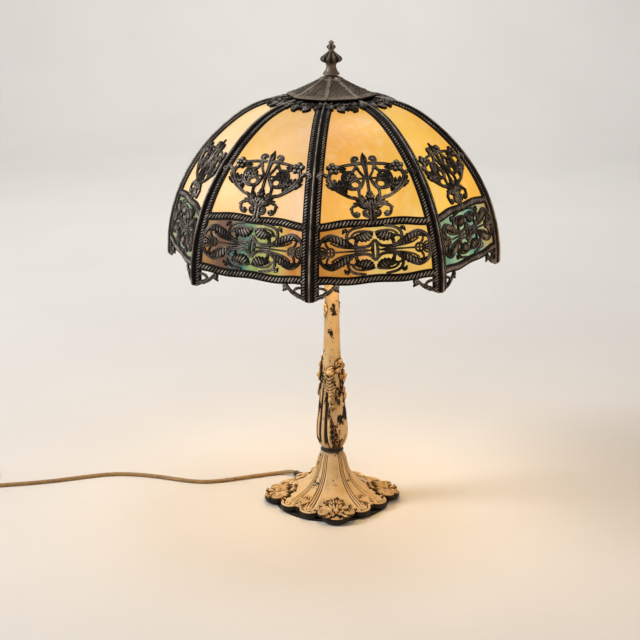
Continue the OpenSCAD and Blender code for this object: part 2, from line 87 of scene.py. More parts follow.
def length(name, description, default):
    return FloatProperty(name=name, description=description, default=default, unit="LENGTH", precision=4)


def angle(name, description, default):
    return FloatProperty(name=name, description=description, default=math.radians(default),
                         subtype="ANGLE", unit="ROTATION")


def colour(name, description, default):
    return FloatVectorProperty(name=name, description=description, default=default,
                               subtype="COLOR", size=3, min=0, max=1)


class LampShadeSettings(bpy.types.PropertyGroup):
    """The sweep of the shade's panels and the grain of its castings"""
    width: length("Width", "Width across opposite ribs at the rim", 0.410)
    rim_height: length("Rim height", "Height of the rim above the table", 0.322)
    low_radius: length("Lower sweep", "Radius of the steep lower sweep", 0.217)
    top_radius: length("Shoulder sweep", "Radius of the tighter sweep over the shoulder", 0.109)
    sweep_turn: angle("Sweep turn", "Slope at which the two sweeps meet", 52)
    turn: angle("Shade turn", "Turn of the shade on its seat", -7)
    glass_face: length("Glass face", "Depth of the glass face under the ribs' crest line", 0.005)
    rope_pitch: length("Rope pitch", "Distance from strand to strand of the rails' cast rope", 0.0042)


class LampStemSettings(bpy.types.PropertyGroup):
    """The lobed base that the stem stands on"""
    base_width: length("Base width", "Width across opposite main lobes", 0.172)
    base_height: length("Base height", "Height from the table to the collar", 0.068)
    base_turn: angle("Base turn", "Turn of the base, seen from above", 4)


class LampCordSettings(bpy.types.PropertyGroup):
    """The mains cord and the coil that its spare length is wound in"""
    diameter: length("Diameter", "Diameter of the cord", 0.005)
    coil_radius: length("Coil radius", "Middle radius of the coil", 0.0285)
    coil_x: length("Coil x", "Centre of the coil", -0.485)
    coil_y: length("Coil y", "Centre of the coil", 0.070)


class LampFinishSettings(bpy.types.PropertyGroup):
    """The colours of the metal and paint"""
    patina_dark: colour("Patina recess", "Dark patina in the recesses", (0.006, 0.0042, 0.0032))
    patina_mid: colour("Patina", "Body colour of the cast overlay", (0.026, 0.019, 0.014))
    patina_worn: colour("Worn metal", "Bare pewter grey on worn crests", (0.52, 0.455, 0.395))
    cream: colour("Cream", "Aged cream paint of the stem and base", (0.70, 0.54, 0.31))
    glaze: colour("Glaze", "Orange-brown glaze in the recesses of the paint", (0.30, 0.125, 0.03))
    cord: colour("Cord", "Gold-brown of the cord", (0.34, 0.20, 0.065))
    glow: FloatProperty(name="Glow", description="Strength of the lit glass", default=0.92, min=0)


class LampViewSettings(bpy.types.PropertyGroup):
    """Where the camera stands"""
    distance: length("Distance", "Distance of the camera in front of the lamp's axis", 1.7746)
    height: length("Height", "Height of the camera above the table", 0.7610)
    pitch: angle("Pitch", "How far the camera looks down", 16.413)
    yaw: angle("Yaw", "How far the camera turns left", 0.468)
    roll: angle("Roll", "Tilt of the camera about its line of sight", -0.257)
    lens: FloatProperty(name="Lens", description="Focal length on a 36 mm sensor", default=84.46)


# ---------------------------------------------------------------- meshes

def placed(name, data):
    """An object in the scene that shows some data."""
    made = bpy.data.objects.new(name, data)
    bpy.context.scene.collection.objects.link(made)
    return made


def around_axis(r, turn, z):
    """Points at a distance from the Z axis and a turn about it, counted from the front."""
    r, z = r + 0 * turn, z + 0 * turn
    return np.stack([r * np.sin(turn), -r * np.cos(turn), z], -1)


def turned(points, turn):
    """Points turned about the Z axis."""
    c, s = math.cos(turn), math.sin(turn)
    return np.stack([points[..., 0] * c - points[..., 1] * s,
                     points[..., 0] * s + points[..., 1] * c, points[..., 2]], -1)


def circle(count):
    """The angles of count even steps round a circle, as one row."""
    return np.linspace(0, TURN, count, endpoint=False)[None]


class Pile:
    """Closed grids gathered into one mesh, each point with its relief from 0, sunk, to 1, crest"""

    def __init__(self):
        self.points, self.relief, self.quads, self.fans, self.count = [], [], [], [], 0

    def grid(self, points, relief=0.0):
        """A grid whose second direction is a closed loop; its two ends are closed with fans."""
        rows, loop = points.shape[:2]
        index = np.arange(rows * loop).reshape(rows, loop) + self.count
        following = np.roll(index, -1, axis=1)
        self.quads.append(np.stack([index[:-1], following[:-1], following[1:], index[1:]], -1).reshape(-1, 4))
        relief = np.broadcast_to(relief, (rows, loop))
        self.points.append(points.reshape(-1, 3))
        self.relief.append(relief.reshape(-1))
        self.count += rows * loop
        for row in (0, -1):
            hub = np.full(loop, self.count)
            self.fans.append(np.stack([index[row], following[row], hub], -1))
            self.points.append(points[row].mean(axis=0)[None])
            self.relief.append([relief[row].mean()])
            self.count += 1
        return self

    def make(self, name, material, body, replaces):
        """The finished object, its faces pointing outwards, on a body in place of frame nodes."""
        points, quads, fans = (np.concatenate(part) for part in (self.points, self.quads, self.fans))
        mesh = bpy.data.meshes.new(name)
        mesh.vertices.add(len(points))
        mesh.vertices.foreach_set("co", points.astype(np.float32).ravel())
        mesh.loops.add(quads.size + fans.size)
        mesh.loops.foreach_set("vertex_index", np.concatenate([quads.ravel(), fans.ravel()]).astype(np.int32))
        mesh.polygons.add(len(quads) + len(fans))
        starts = np.concatenate([np.arange(len(quads)) * 4, quads.size + np.arange(len(fans)) * 3])
        mesh.polygons.foreach_set("loop_start", starts.astype(np.int32))
        mesh.update(calc_edges=True)
        relief = mesh.attributes.new("relief", "FLOAT", "POINT")
        relief.data.foreach_set("value", np.concatenate(self.relief).astype(np.float32))
        work = bmesh.new()
        work.from_mesh(mesh)
        bmesh.ops.recalc_face_normals(work, faces=work.faces)
        work.to_mesh(mesh)
        work.free()
        mesh.polygons.foreach_set("use_smooth", np.ones(len(mesh.polygons), bool))
        mesh.materials.append(material)
        piece = placed(name, mesh)
        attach(piece, body)
        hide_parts(*replaces)
        return piece


def spline(points, count):
    """A smooth curve through points: on each stretch the cubic whose slope at a point is half the
    step between its neighbours (Catmull-Rom), read at count even steps."""
    p = np.asarray(points, float)
    p = np.concatenate([[2 * p[0] - p[1]], p, [2 * p[-1] - p[-2]]])
    t = np.linspace(0, len(p) - 3, count)
    k = np.minimum(t.astype(int), len(p) - 4)
    f = (t - k)[:, None]
    a, b, c, d = p[k], p[k + 1], p[k + 2], p[k + 3]
    return 0.5 * (2 * b + (c - a) * f + (2 * a - 5 * b + 4 * c - d) * f ** 2
                  + (3 * b - a - 3 * c + d) * f ** 3)


def curl(centre, start, end, turns, begin):
    """Points of a spiral about a centre, from one radius to another."""
    t = np.linspace(0, 1, 14)
    r, a = start + (end - start) * t, begin + turns * TURN * t
    return np.stack([centre[0] + r * np.cos(a), centre[1] + r * np.sin(a)], 1)


def along(values, count):
    """Values spread evenly over 0 to 1 and read at count even steps."""
    values = np.atleast_1d(np.asarray(values, float))
    return np.interp(np.linspace(0, 1, count), np.linspace(0, 1, len(values)), values)


def bump(x, centre, spread):
    """The bell exp(-((x - centre) / spread)^2)."""
    return np.exp(-((x - centre) / spread) ** 2)


def rounded(x):
    """Section with upright sides under a half-round top, 0.28 + 0.72 (1 - x^2)^0.4."""
    return 0.28 + 0.72 * np.clip(1 - x ** 2, 0, 1) ** 0.4


def fluted(x):
    """Half-round section with a groove down its middle."""
    return rounded(x) * (1 - 0.45 * bump(x, 0, 0.24))


SKIRT = 0.0003                      # how far the hidden underside of a laid shape goes in


def lay_bar(points, width, rise, count=20, across=9, section=fluted, detail=None, shine=None):
    """A bar on the flat (u, s) plane: the middle line is a spline, each point of the section stands
    x * width / 2 to its side and section(x) * rise, plus any detail(run, x), above the plane. Its
    relief is its share of the greatest rise, or shine(run, x)."""
    mid = spline(points, count)
    step = np.gradient(mid, axis=0)
    step /= np.linalg.norm(step, axis=1, keepdims=True)
    side = np.stack([-step[:, 1], step[:, 0]], 1)
    run = np.concatenate([[0], np.cumsum(np.linalg.norm(np.diff(mid, axis=0), axis=1))])[:, None]
    x = np.linspace(-1, 1, across)[None]
    wide, high = along(width, count), along(rise, count)
    top = section(x) * high[:, None]
    if detail is not None:
        top = top + detail(run, x)
    place = mid[:, None] + side[:, None] * (x * wide[:, None] / 2)[..., None]
    upper = np.concatenate([place, top[..., None]], -1)
    lower = upper[:, [-1, 0]].copy()
    lower[..., 2] = -SKIRT
    relief = np.clip(top / np.max(high) if shine is None else shine(run, x), 0, 1)
    return np.concatenate([upper, lower], 1), np.concatenate([relief, np.zeros((count, 2))], 1)


def lay_leaf(points, width, rise, lobes=4, count=26, across=13, comb=0):
    """A leaf on the flat plane: its half width is sin(pi t^0.8)^0.7 cut back between its lobes, and
    its arched face is parted into a finger for each lobe, |cos(pi (lobes t - 0.55 |x|))|^0.6 high.
    With comb 1 or -1 the fingers run right across, from one edge to the other."""
    t = np.linspace(0, 1, count)
    swell = np.sin(math.pi * np.clip(t, 0.02, 0.985) ** 0.8) ** 0.7
    notch = 1 - 0.20 * np.abs(np.cos(math.pi * lobes * t)) ** 3

    def fingers(run, x):
        out = np.abs(x) if not comb else 1 + comb * x
        finger = np.abs(np.sin(math.pi * (lobes * run / run[-1] - 0.55 * out + 0.5))) ** 0.6
        rib = 0 if comb else bump(x, 0, 0.15)
        return -rise * (0.55 * (1 - finger) + 0.30 * rib) * (np.abs(x) < 0.97)
    return lay_bar(points, width * swell * notch, rise * (0.45 + 0.55 * np.sin(math.pi * t) ** 0.5),
                   count, across, rounded, fingers)


def lay_boss(centre, radius, rise, petals=0, depth=0.14, rings=7, around=24, hollow=0.0):
    """A round boss on the flat plane: height rise * (1 - q^2)^0.4 at share q of its radius, its
    outline waved by petals and grooved between them, with an eye sunk by hollow."""
    q = np.linspace(0.08, 1, rings)[:, None]
    turn = circle(around)
    wave = 1 - depth * (0.5 - 0.5 * np.cos(petals * turn)) if petals else np.ones_like(turn)
    high = rise * np.sqrt(np.clip(1.001 - q ** 2, 0, 1)) ** 0.8 * (0.75 + 0.25 * wave ** 3)
    high = high - rise * hollow * bump(q, 0, 0.3) + rise * 0.3 * hollow * bump(q, 0.42, 0.14)
    grid = np.stack([centre[0] + radius * q * wave * np.cos(turn),
                     centre[1] + radius * q * wave * np.sin(turn), high + 0 * turn], -1)
    skirt = grid[-1:].copy()
    skirt[..., 2] = -SKIRT
    relief = np.concatenate([np.clip(high / rise, 0, 1) + 0 * turn, np.zeros((1, around))])
    return np.concatenate([grid, skirt]), relief


class Flat:
    """Shapes laid on a flat (u, s) plane in millimetres, ready to be wrapped on a panel or the stem.
    Every bar's width is multiplied by stout. A shape off the middle line is laid again mirrored,
    unless it or the whole plane says not to"""

    def __init__(self, stout=1.0, mirrored=True):
        self.shapes, self.stout, self.mirrored = [], stout, mirrored

    def add(self, lay, points, sizes, mirrored=None, **more):
        points = np.asarray(points) * MM
        grid, relief = lay(points, *sizes, **more)
        self.shapes.append((grid, relief))
        if (self.mirrored and points[..., 0].any()) if mirrored is None else mirrored:
            self.shapes.append((grid * [-1, 1, 1], relief))

    def bar(self, points, width, rise, **more):
        self.add(lay_bar, points, (np.asarray(width) * MM * self.stout, np.asarray(rise) * MM), **more)

    def leaf(self, points, width, rise, **more):
        self.add(lay_leaf, points, (width * MM, rise * MM), **more)

    def boss(self, centre, radius, rise, **more):
        self.add(lay_boss, centre, (radius * MM, rise * MM), **more)

    def onto(self, pile, wrap, stretch=1.0, depth=1.0):
        """Wrap every shape, its sideways size first multiplied by stretch and its relief raised to
        the power depth, which widens the dark of its recesses."""
        for grid, relief in self.shapes:
            pile.grid(wrap(grid * [stretch, 1, 1]), relief ** depth)


# ---------------------------------------------------------------- the sweep of the shade

def panel_turn(shade, number):
    """The turn of a panel's middle about the Z axis."""
    return shade.turn + HALF + (number - 1) * 2 * HALF


class Sweep:
    """Places points on the shade. s is the arc length up the panel from the rim, u the distance
    across it, h the height above the glass; two arcs meet in a common tangent at sweep_turn."""

    def __init__(self, shade):
        self.s = shade
        self.apothem = shade.width / 2 * math.cos(HALF)
        self.low = (self.apothem - shade.low_radius, shade.rim_height)
        reach = shade.low_radius - shade.top_radius
        self.top = (self.low[0] + reach * math.cos(shade.sweep_turn),
                    self.low[1] + reach * math.sin(shade.sweep_turn))
        self.break_s = shade.low_radius * shade.sweep_turn
        self.crest_s = self.break_s + shade.top_radius * (math.pi / 2 - shade.sweep_turn)
        self.crest_z = self.top[1] + shade.top_radius

    def profile(self, s, h):
        """Distance from the axis, square to the panel, and height, at arc length s and offset h."""
        lower = s < self.break_s
        a = np.where(lower, s / self.s.low_radius,
                     self.s.sweep_turn + (s - self.break_s) / self.s.top_radius)
        centre_r, centre_z = (np.where(lower, low, top) for low, top in zip(self.low, self.top))
        reach = np.where(lower, self.s.low_radius, self.s.top_radius) + h
        return centre_r + reach * np.cos(a), centre_z + reach * np.sin(a)

    def on_panel(self, number):
        """The map of flat (u, s, h) points onto panel number."""
        return self.wrapping(panel_turn(self.s, number), False)

    def on_rib(self, number):
        """The map of flat (v, s, h) points onto the corner between two panels: the radius falls by
        |v| sin(half) as v leaves the corner, so both flanks lie flat on their panels."""
        return self.wrapping(self.s.turn + (number - 1) * 2 * HALF, True)

    def wrapping(self, turn, corner):
        def wrap(flat):
            r, z = self.profile(flat[..., 1], flat[..., 2] - self.s.glass_face)
            if corner:
                r = (r - np.abs(flat[..., 0]) * math.sin(HALF)) / math.cos(HALF)
            return turned(np.stack([flat[..., 0], -r, z], -1), turn)
        return wrap


# ---------------------------------------------------------------- materials

class Shader:
    """One material's node tree, with sockets wrapped so that expressions add Math nodes"""

    def __init__(self, name, **constants):
        self.material = bpy.data.materials.new(name)
        self.material.use_nodes = True
        self.tree = self.material.node_tree
        self.surface = self.tree.nodes["Principled BSDF"]
        for key, value in constants.items():
            self.surface.inputs[key.replace("_", " ")].default_value = value

    def node(self, kind, settings=None, **inputs):
        """A node of a type, its settings set first, then its sockets' values or links."""
        made = self.tree.nodes.new(kind)
        for key, value in (settings or {}).items():
            if key == "stops":
                ramp = made.color_ramp
                while len(ramp.elements) < len(value):
                    ramp.elements.new(0.5)
                for element, (at, shade) in zip(ramp.elements, value):
                    element.position, element.color = at, (*shade, 1)
            else:
                setattr(made, key, value)
        for key, value in inputs.items():
            self.link(made.inputs[int(key[1:])] if key[0] == "i" and key[1:].isdigit()
                      else made.inputs[key.replace("_", " ")], value)
        return made

    def link(self, socket, value):
        if isinstance(value, Value):
            self.tree.links.new(value.socket, socket)
        else:
            socket.default_value = value

    def value(self, kind, output=0, settings=None, **inputs):
        return Value(self, self.node(kind, settings, **inputs).outputs[output])

    def place(self):
        return self.value("ShaderNodeTexCoord", "Object")

    def noise(self, scale, detail, roughness=0.55, at=None, distortion=0.0):
        return self.value("ShaderNodeTexNoise", 0, Vector=at or self.place(), Scale=scale,
                          Detail=detail, Roughness=roughness, Distortion=distortion)

    def stretched(self, *scale):
        return self.value("ShaderNodeMapping", 0, Vector=self.place(), Scale=scale)

    def relief(self):
        return self.value("ShaderNodeAttribute", "Fac", {"attribute_name": "relief"})

    def ramp(self, value, stops):
        return self.value("ShaderNodeValToRGB", 0, {"stops": stops}, i0=value)

    def mix(self, factor, a, b):
        """Colour a where factor is 0 and b where it is 1."""
        a, b = [c if isinstance(c, Value) else (*c, 1) for c in (a, b)]
        return self.value("ShaderNodeMix", 2, {"data_type": "RGBA"}, i0=factor, i6=a, i7=b)

    def bump(self, height, distance, strength):
        return self.value("ShaderNodeBump", 0, Strength=strength, Distance=distance, Height=height)

    def set(self, **inputs):
        for key, value in inputs.items():
            self.link(self.surface.inputs[key.replace("_", " ")], value)
        return self.material


class Value:
    """A socket that can be added, multiplied and so on; each operation adds one Math node"""

    def __init__(self, shader, socket):
        self.shader, self.socket = shader, socket

    def math(self, operation, a, b, clamp=False):
        return self.shader.value("ShaderNodeMath", 0, {"operation": operation, "use_clamp": clamp},
                                 i0=a, i1=b)

    def __add__(self, other):
        return self.math("ADD", self, other)

    def __sub__(self, other):
        return self.math("SUBTRACT", self, other)

    def __mul__(self, other):
        return self.math("MULTIPLY", self, other)

    def __rsub__(self, other):
        return self.math("SUBTRACT", other, self)

    __radd__, __rmul__ = __add__, __mul__

    def step(self, low, high):
        """0 under low, 1 over high, and even in between."""
        return self.math("MULTIPLY", self - low, 1 / (high - low), clamp=True)

    def axis(self, direction):
        """The share of this vector along a direction."""
        return self.shader.value("ShaderNodeVectorMath", 1, {"operation": "DOT_PRODUCT"},
                                 i0=self, i1=direction)


def dimmed(tone, share):
    """A colour with each part multiplied by share."""
    return tuple(part * share for part in tone)


def patina(name, dark, mid, worn, wear=(0.80, 1.14), metallic=0.45):
    """Cast metal: dark in its recesses, grey where its crests are worn, pitted all over."""
    s = Shader(name, Metallic=metallic, Specular_IOR_Level=0.18)
    relief, grain, blotch = s.relief(), s.noise(900.0, 4.0, 0.65), s.noise(55.0, 3.0)
    base = s.mix(relief.step(0.30, 0.85), dark, mid)
    mask = (relief + (grain - 0.5) * 0.5 + (blotch - 0.5) * 0.8).step(*wear)
    pits = s.noise(1600.0, 2.0).step(0.30, 0.42)
    return s.set(Base_Color=s.mix(mask * pits, base, worn), Roughness=0.54 - mask * 0.20,
                 Normal=s.bump(grain * 0.6 + pits * 0.4, 0.0004, 0.55))


def shade_patina(name, finish):
    """The patina of the overlay and the ribs."""
    tones = finish.patina_dark, finish.patina_mid, finish.patina_worn
    return patina(name, *(tuple(tone) for tone in tones))


def plain_metal(name, tone, roughness=0.35):
    """Turned or drawn metal, with fine cloudy tarnish."""
    s = Shader(name, Metallic=0.9)
    cloud, fine = s.noise(60.0, 4.0), s.noise(700.0, 2.0)
    return s.set(Base_Color=s.mix(cloud.step(0.35, 0.75), tone, dimmed(tone, 0.45)),
                 Roughness=roughness + cloud * 0.2, Normal=s.bump(fine, 0.0002, 0.3))


def moulded(name, tone, roughness=0.35, speckle=0.15):
    """Moulded or glazed stuff with a faint mottle."""
    s = Shader(name, Coat_Weight=0.3, Coat_Roughness=0.2)
    cloud = s.noise(160.0, 3.0)
    return s.set(Base_Color=s.mix(cloud.step(0.3, 0.8) * speckle * 3, tone, dimmed(tone, 0.6)),
                 Roughness=roughness + cloud * 0.1, Normal=s.bump(cloud, 0.0002, 0.25))


def felted(name, tone):
    """Wool felt: short fibres lying every way."""
    s = Shader(name, Roughness=0.95)
    fibres = s.noise(1500.0, 4.0, 0.8, distortion=2.0)
    return s.set(Base_Color=s.mix(fibres.step(0.35, 0.7), tone, dimmed(tone, 2.0)),
                 Normal=s.bump(fibres, 0.0006, 0.8))


def painted(name, finish, chipping):
    """Aged cream paint over dark metal: black in the cut lines, orange-brown glaze beside them,
    and chips down to the metal."""
    s = Shader(name, Specular_IOR_Level=0.22)
    relief = s.relief()
    cloud, grain = s.noise(38.0, 4.0, 0.6), s.noise(420.0, 4.0, 0.7)
    flakes = s.noise(1.0, 3.0, 0.5, at=s.stretched(85.0, 85.0, 48.0))
    glazed = s.mix((relief + (cloud - 0.5) * 0.95 + (grain - 0.5) * 0.35).step(0.66, 0.36),
                   tuple(finish.cream), tuple(finish.glaze))
    aged = s.mix(cloud.step(0.40, 0.72) * 0.70, glazed, (0.52, 0.27, 0.065))
    chips = (grain * 0.35 + flakes * 0.85 + (relief - 0.5) * 0.08).step(chipping, chipping + 0.025)
    dark = s.mix(chips, aged, (0.012, 0.009, 0.007))
    lines = (relief + (grain - 0.5) * 0.25).step(0.36, 0.22)
    return s.set(Base_Color=s.mix(lines, dark, (0.012, 0.008, 0.006)), Roughness=0.45 + chips * 0.25,
                 Normal=s.bump(cloud * 0.3 + grain * 0.3 - chips * 0.7, 0.0005, 0.6))


PANE_WIDE, SHADE_TALL = 0.145, 0.19
BULB_SHARE = 0.42                   # how far up the shade its bulbs stand


def slag_glass(name, number, shade, stops, glow, streak, wisp, tall):
    """Opalescent glass lit from behind: its colour runs across the pane, and up it by a share, along
    a ramp, bent by streaks drawn out along the pane, and it glows most at the bulbs' height."""
    s = Shader(name, Roughness=0.30, Specular_IOR_Level=0.30)
    turn = panel_turn(shade, number)
    place = s.place()
    across = place.axis((math.cos(turn), math.sin(turn), 0)) * (1 / PANE_WIDE) + 0.5
    rise = (place.axis((0, 0, 1)) - shade.rim_height) * (1 / SHADE_TALL)
    drawn = s.value("ShaderNodeMapping", 0, Vector=place, Scale=(1.0, 1.0, 0.45))
    wander = s.noise(11.0, 3.0, 0.5, at=drawn, distortion=1.4)
    wisps = s.noise(42.0, 4.0, 0.6, at=drawn, distortion=1.8)
    mixed = across * (1 - abs(tall)) + rise * tall + (wander - 0.5) * streak + (wisps - 0.5) * wisp
    cloud = s.noise(17.0, 2.0, 0.5, at=drawn, distortion=0.8)
    tint = s.mix(wisps.step(0.48, 0.80) * 0.30, s.ramp(mixed, stops), (0.98, 0.80, 0.56))
    tint = s.mix(cloud.step(0.45, 0.75) * 0.28, tint, (1.0, 0.64, 0.13))
    away, side = rise - BULB_SHARE, across - 0.5
    lamp = rise.math("SUBTRACT", 1.0, away * away * 0.80 + side * side * 0.9, True)
    lamp = lamp * (wander * 0.45 + 0.82)
    return s.set(Base_Color=s.mix(0.80, tint, (0.0, 0.0, 0.0)), Emission_Color=s.mix(lamp, (0, 0, 0), tint),
                 Emission_Strength=glow, Normal=s.bump(wisps, 0.0008, 0.35))


# ---------------------------------------------------------------- shade pieces

RAIL_WIDE, RAIL_RISE = 9.6, 2.4
# Each rope rail's arc length up the panel, bend and half length, in millimetres
RAILS = ((18.4, -3.0, 68), (77.2, 2.7, 65))
STRAND_STEPS = 7                    # mesh rows from one strand of a rope to the next


def strands(run, x, pitch, lean):
    """Rope strands: rounded ridges a pitch apart, |sin(pi (run / pitch - lean x))|^1.1."""
    return np.abs(np.sin(math.pi * (run / pitch - lean * x))) ** 1.1


def rail_section(x):
    """A flat band with a rounded bead along each edge and a sunk middle."""
    return 0.25 + 0.38 * bump(np.abs(x), 0.84, 0.12)


def wave(t):
    """Two low humps with a dip between, level at both ends: (1 - t^2)^3 (0.6 + 7 t^2)."""
    return (1 - t ** 2) ** 3 * (0.6 + 7 * t ** 2)


def rope_rail(flat, pitch, s, bend, reach):
    """A rope rail across the panel at arc length s, bent by wave() times bend."""
    t = np.linspace(-1, 1, 41)
    points = np.stack([t * reach, s + bend * wave(t)], 1)

    def rope(run, x):
        core = np.clip(1 - (x / 0.64) ** 2, 0, 1) ** 0.5
        return core * strands(run, x, pitch, 0.85) * 2.3 * MM
    flat.bar(points, [RAIL_WIDE], RAIL_RISE, mirrored=False, count=int(2 * reach * MM / pitch * STRAND_STEPS),
             across=21, section=rail_section, detail=rope)


def vase_ornament(flat):
    """The two-handled vase of scrolls, leaves and flowers that stands on the middle rail."""
    flat.bar([(0, 80), (0, 90), (0, 102)], [9, 7, 7.5], 2.6)
    flat.bar([(2, 94), (6, 98.3), (12, 100.6), (19, 99.6), (25.5, 95.5)], [3.0, 3.0, 3.2, 3.8, 1.6], 2.5)
    flat.bar([(22.5, 98), (23, 93), (20.5, 88.3), (16.3, 87.8), (15.2, 91)], [2.6, 3.2, 3.6, 3.0], 2.5)
    flat.boss((17.9, 90.4), 2.6, 2.6)
    flat.bar([(1, 87), (5, 86.6), (9, 88.6), (9, 92.6), (5.8, 93.4)], [3.0, 3.2, 3.4, 2.8], 2.5)
    flat.boss((6.2, 90.4), 2.2, 2.6)
    flat.leaf([(0, 88), (0, 99), (0, 109)], 9, 3.4, lobes=3)
    flat.leaf([(1, 94), (6, 102), (11, 113)], 7.8, 3.0, lobes=3)
    flat.leaf([(2, 94), (10, 101), (19.5, 111)], 9.0, 3.0, lobes=4)
    flat.leaf([(3, 95), (11, 99.5), (21, 103)], 7.0, 2.8, lobes=3)
    flat.leaf([(0, 103), (0, 110), (0, 117.5)], 11.5, 3.2, lobes=3)
    flat.bar([(0, 110), (0, 125), (0, 134), (0, 142), (0, 150)], [3.4, 3.2, 4.0, 4.6, 6.0], 2.7)
    flat.bar([(11.3, 104), (12, 111), (11.6, 118), (8, 122.5), (5.2, 127.5), (4, 133), (6.8, 138), (9.4, 143),
              (10.3, 149)], [3.0, 3.0, 4.0, 3.2, 2.6, 2.4, 2.2], 2.5, count=44)
    ring = np.linspace(-0.5 * math.pi, 1.5 * math.pi, 25)
    flat.bar(np.stack([15.2 + 5.9 * np.cos(ring), 124.2 + 5.1 * np.sin(ring)], 1), [3.4], 2.5, count=40)
    flat.bar([(14, 119.2), (21, 119.6), (26, 122.5), (28.6, 127.5), (28.2, 134), (25.5, 138.6), (20, 140)],
             [3.6, 3.8, 4.2, 3.4, 2.6], 2.6, count=40)
    flat.bar([(2, 132.4), (8, 131.2), (15, 131.4)], [2.0, 2.0, 2.8], 2.2)
    flat.leaf([(14, 128.5), (21, 132.5), (27, 140)], 10, 3.2, lobes=4)
    flat.leaf([(20, 124), (25, 131), (22.5, 141)], 9, 3.0, lobes=3)
    flat.leaf([(12.5, 129), (15.2, 134.5), (17.5, 142)], 7.0, 2.9, lobes=3)
    flat.bar([(10, 148.5), (12.8, 144), (15, 140.4), (22, 139.8), (31, 141.6)], [2.4, 2.8, 3.2, 2.6], 2.4,
             count=30)
    flat.leaf([(7, 143), (12, 143.5), (17, 139)], 4.6, 2.6, lobes=2)
    flat.bar([(5, 149.8), (14, 149.3), (22, 148.4), (32, 146.4)], [3.0, 3.2, 3.0, 3.2], 2.5)
    flat.leaf([(22, 144.5), (27, 143.6), (34, 145)], 4.2, 2.6, lobes=2)
    for turn in np.radians([18, 90, 162, 234, 306]):
        flat.boss((37.8 + 4.6 * math.cos(turn), 144.8 + 4.6 * math.sin(turn)), 3.5, 3.0, around=16)
    flat.boss((37.8, 144.8), 2.3, 4.0)
    flat.bar([(8, 104), (16, 107.3), (24, 110), (32, 115.4), (39, 121.6), (43, 128), (44.2, 134),
              (41.5, 140)], [3.0, 3.0, 3.4, 5.0, 5.6, 4.6, 3.8], 2.7, count=44)
    flat.leaf([(26, 114), (31, 122), (33.4, 131.5)], 9.0, 3.2, lobes=4)
    flat.leaf([(32, 118), (37, 125), (38.8, 132.5)], 7.4, 3.0, lobes=3)
    flat.leaf([(38, 119), (44, 122.6), (49.5, 126.8)], 5.6, 2.8, lobes=2)
    flat.leaf([(41, 126), (46, 129), (48, 133)], 4.4, 2.6)
    flat.bar([(43.4, 131), (46.5, 136), (51.5, 139.4), (57, 138)], [2.4, 3.2, 3.2, 2.6], 2.4)
    flat.boss((47.2, 136.6), 2.8, 3.0)
    flat.boss((56, 135.6), 4.4, 2.8, petals=5, hollow=0.5)
    flat.bar([(1, 145), (3, 149), (6.6, 150.4), (11, 150.8), (13.6, 153.8), (12, 157.2), (8.2, 157.2),
              (7.6, 154.2)], [2.2, 2.8, 3.4, 3.6, 3.2], 2.6, count=36)
    flat.boss((10.2, 154.4), 2.4, 3.0)
    flat.leaf([(0, 147), (0, 155), (0, 164.5)], 8, 3.4, lobes=1)


def band_ornament(flat):
    """The lower band: a spearhead in four leaf fans in scroll frames, with a palmette roundel at
    each end: a thin ring with a toothed crescent leaf above and below."""
    middle = 48.6
    for up in (-1, 1):
        def at(*points):
            return [(u, middle + up * s) for u, s in points]
        flat.leaf(at((1.5, 20), (12, 15.4), (27, 15)), 13, 3.2, lobes=7, across=17, count=40, comb=up)
        flat.bar(at((1, 19.8), (8, 21.2), (16, 21.6), (23, 20.4), (28, 16.6)), [2.0, 2.4, 2.2], 2.6)
        flat.bar(at((24, 15.4), (28, 15.2), (32.4, 13.8)), [2.4, 2.4], 2.2)
        flat.leaf(at((20, 14), (22.5, 9), (23, 3.5)), 5.4, 2.8, lobes=2)
        flat.bar(at((12, 27), (17, 26.2), (24, 25), (30, 22), (33, 17), (32.4, 11), (28.4, 6.4), (21, 4.2),
                    (13, 4), (6.5, 5.4), (0, 11.5)), [2.4, 2.8, 3.0, 3.2, 3.0, 3.2], 2.6, count=56)
        flat.leaf(at((30.5, 21), (35, 23.5), (38, 19.4)), 5.4, 2.6)
        flat.leaf(at((24, 4.4), (33, 7.4), (43, 12.8), (53, 15.4), (62, 11.4)), 10.5, 3.3, lobes=10, count=52,
                  across=17, comb=up)
        flat.bar(at((42, 16.4), (52, 19.2), (60.5, 16), (65.8, 9.4), (67.4, 0)), [1.8, 2.6, 3.2, 3.6, 3.6],
                 2.6, count=30)
        flat.bar(at((25, 3), (36, 4.4), (46, 7), (53, 11)), [1.6, 2.0, 2.0, 1.8], 2.4)
        flat.bar(at((54.4, 3.6), (57.6, 7.8), (58.6, 12.4)), [2.2, 2.6, 2.0], 2.4)
        flat.bar(at((57.6, 2.6), (62, 5.8), (66, 5.4)), [1.8, 2.2, 1.8], 2.4)
    turn = np.linspace(0, TURN, 25)
    flat.bar(np.stack([53.6 + 4.7 * np.cos(turn), middle + 4.7 * np.sin(turn)], 1), [2.2], 2.5, count=32)
    flat.bar([(48, middle), (54, middle), (60, middle)], [1.8], 2.3)
    flat.bar([(53.6, middle - 5), (53.6, middle), (53.6, middle + 5)], [1.8], 2.3)
    flat.boss((63.2, middle), 4.4, 3.0, petals=5, hollow=0.4)
    flat.bar([(24, middle), (36, middle), (49, middle)], [2.2, 1.7, 1.9], 2.4)
    flat.bar([(3, middle), (8, middle), (16, middle), (25, middle)], [1.6, 2.0, 4.4, 5.0], 2.6)
    flat.bar([(1.7, middle - 9), (3.2, middle), (1.7, middle + 9)], [2.0, 3.6, 2.0], 2.6)


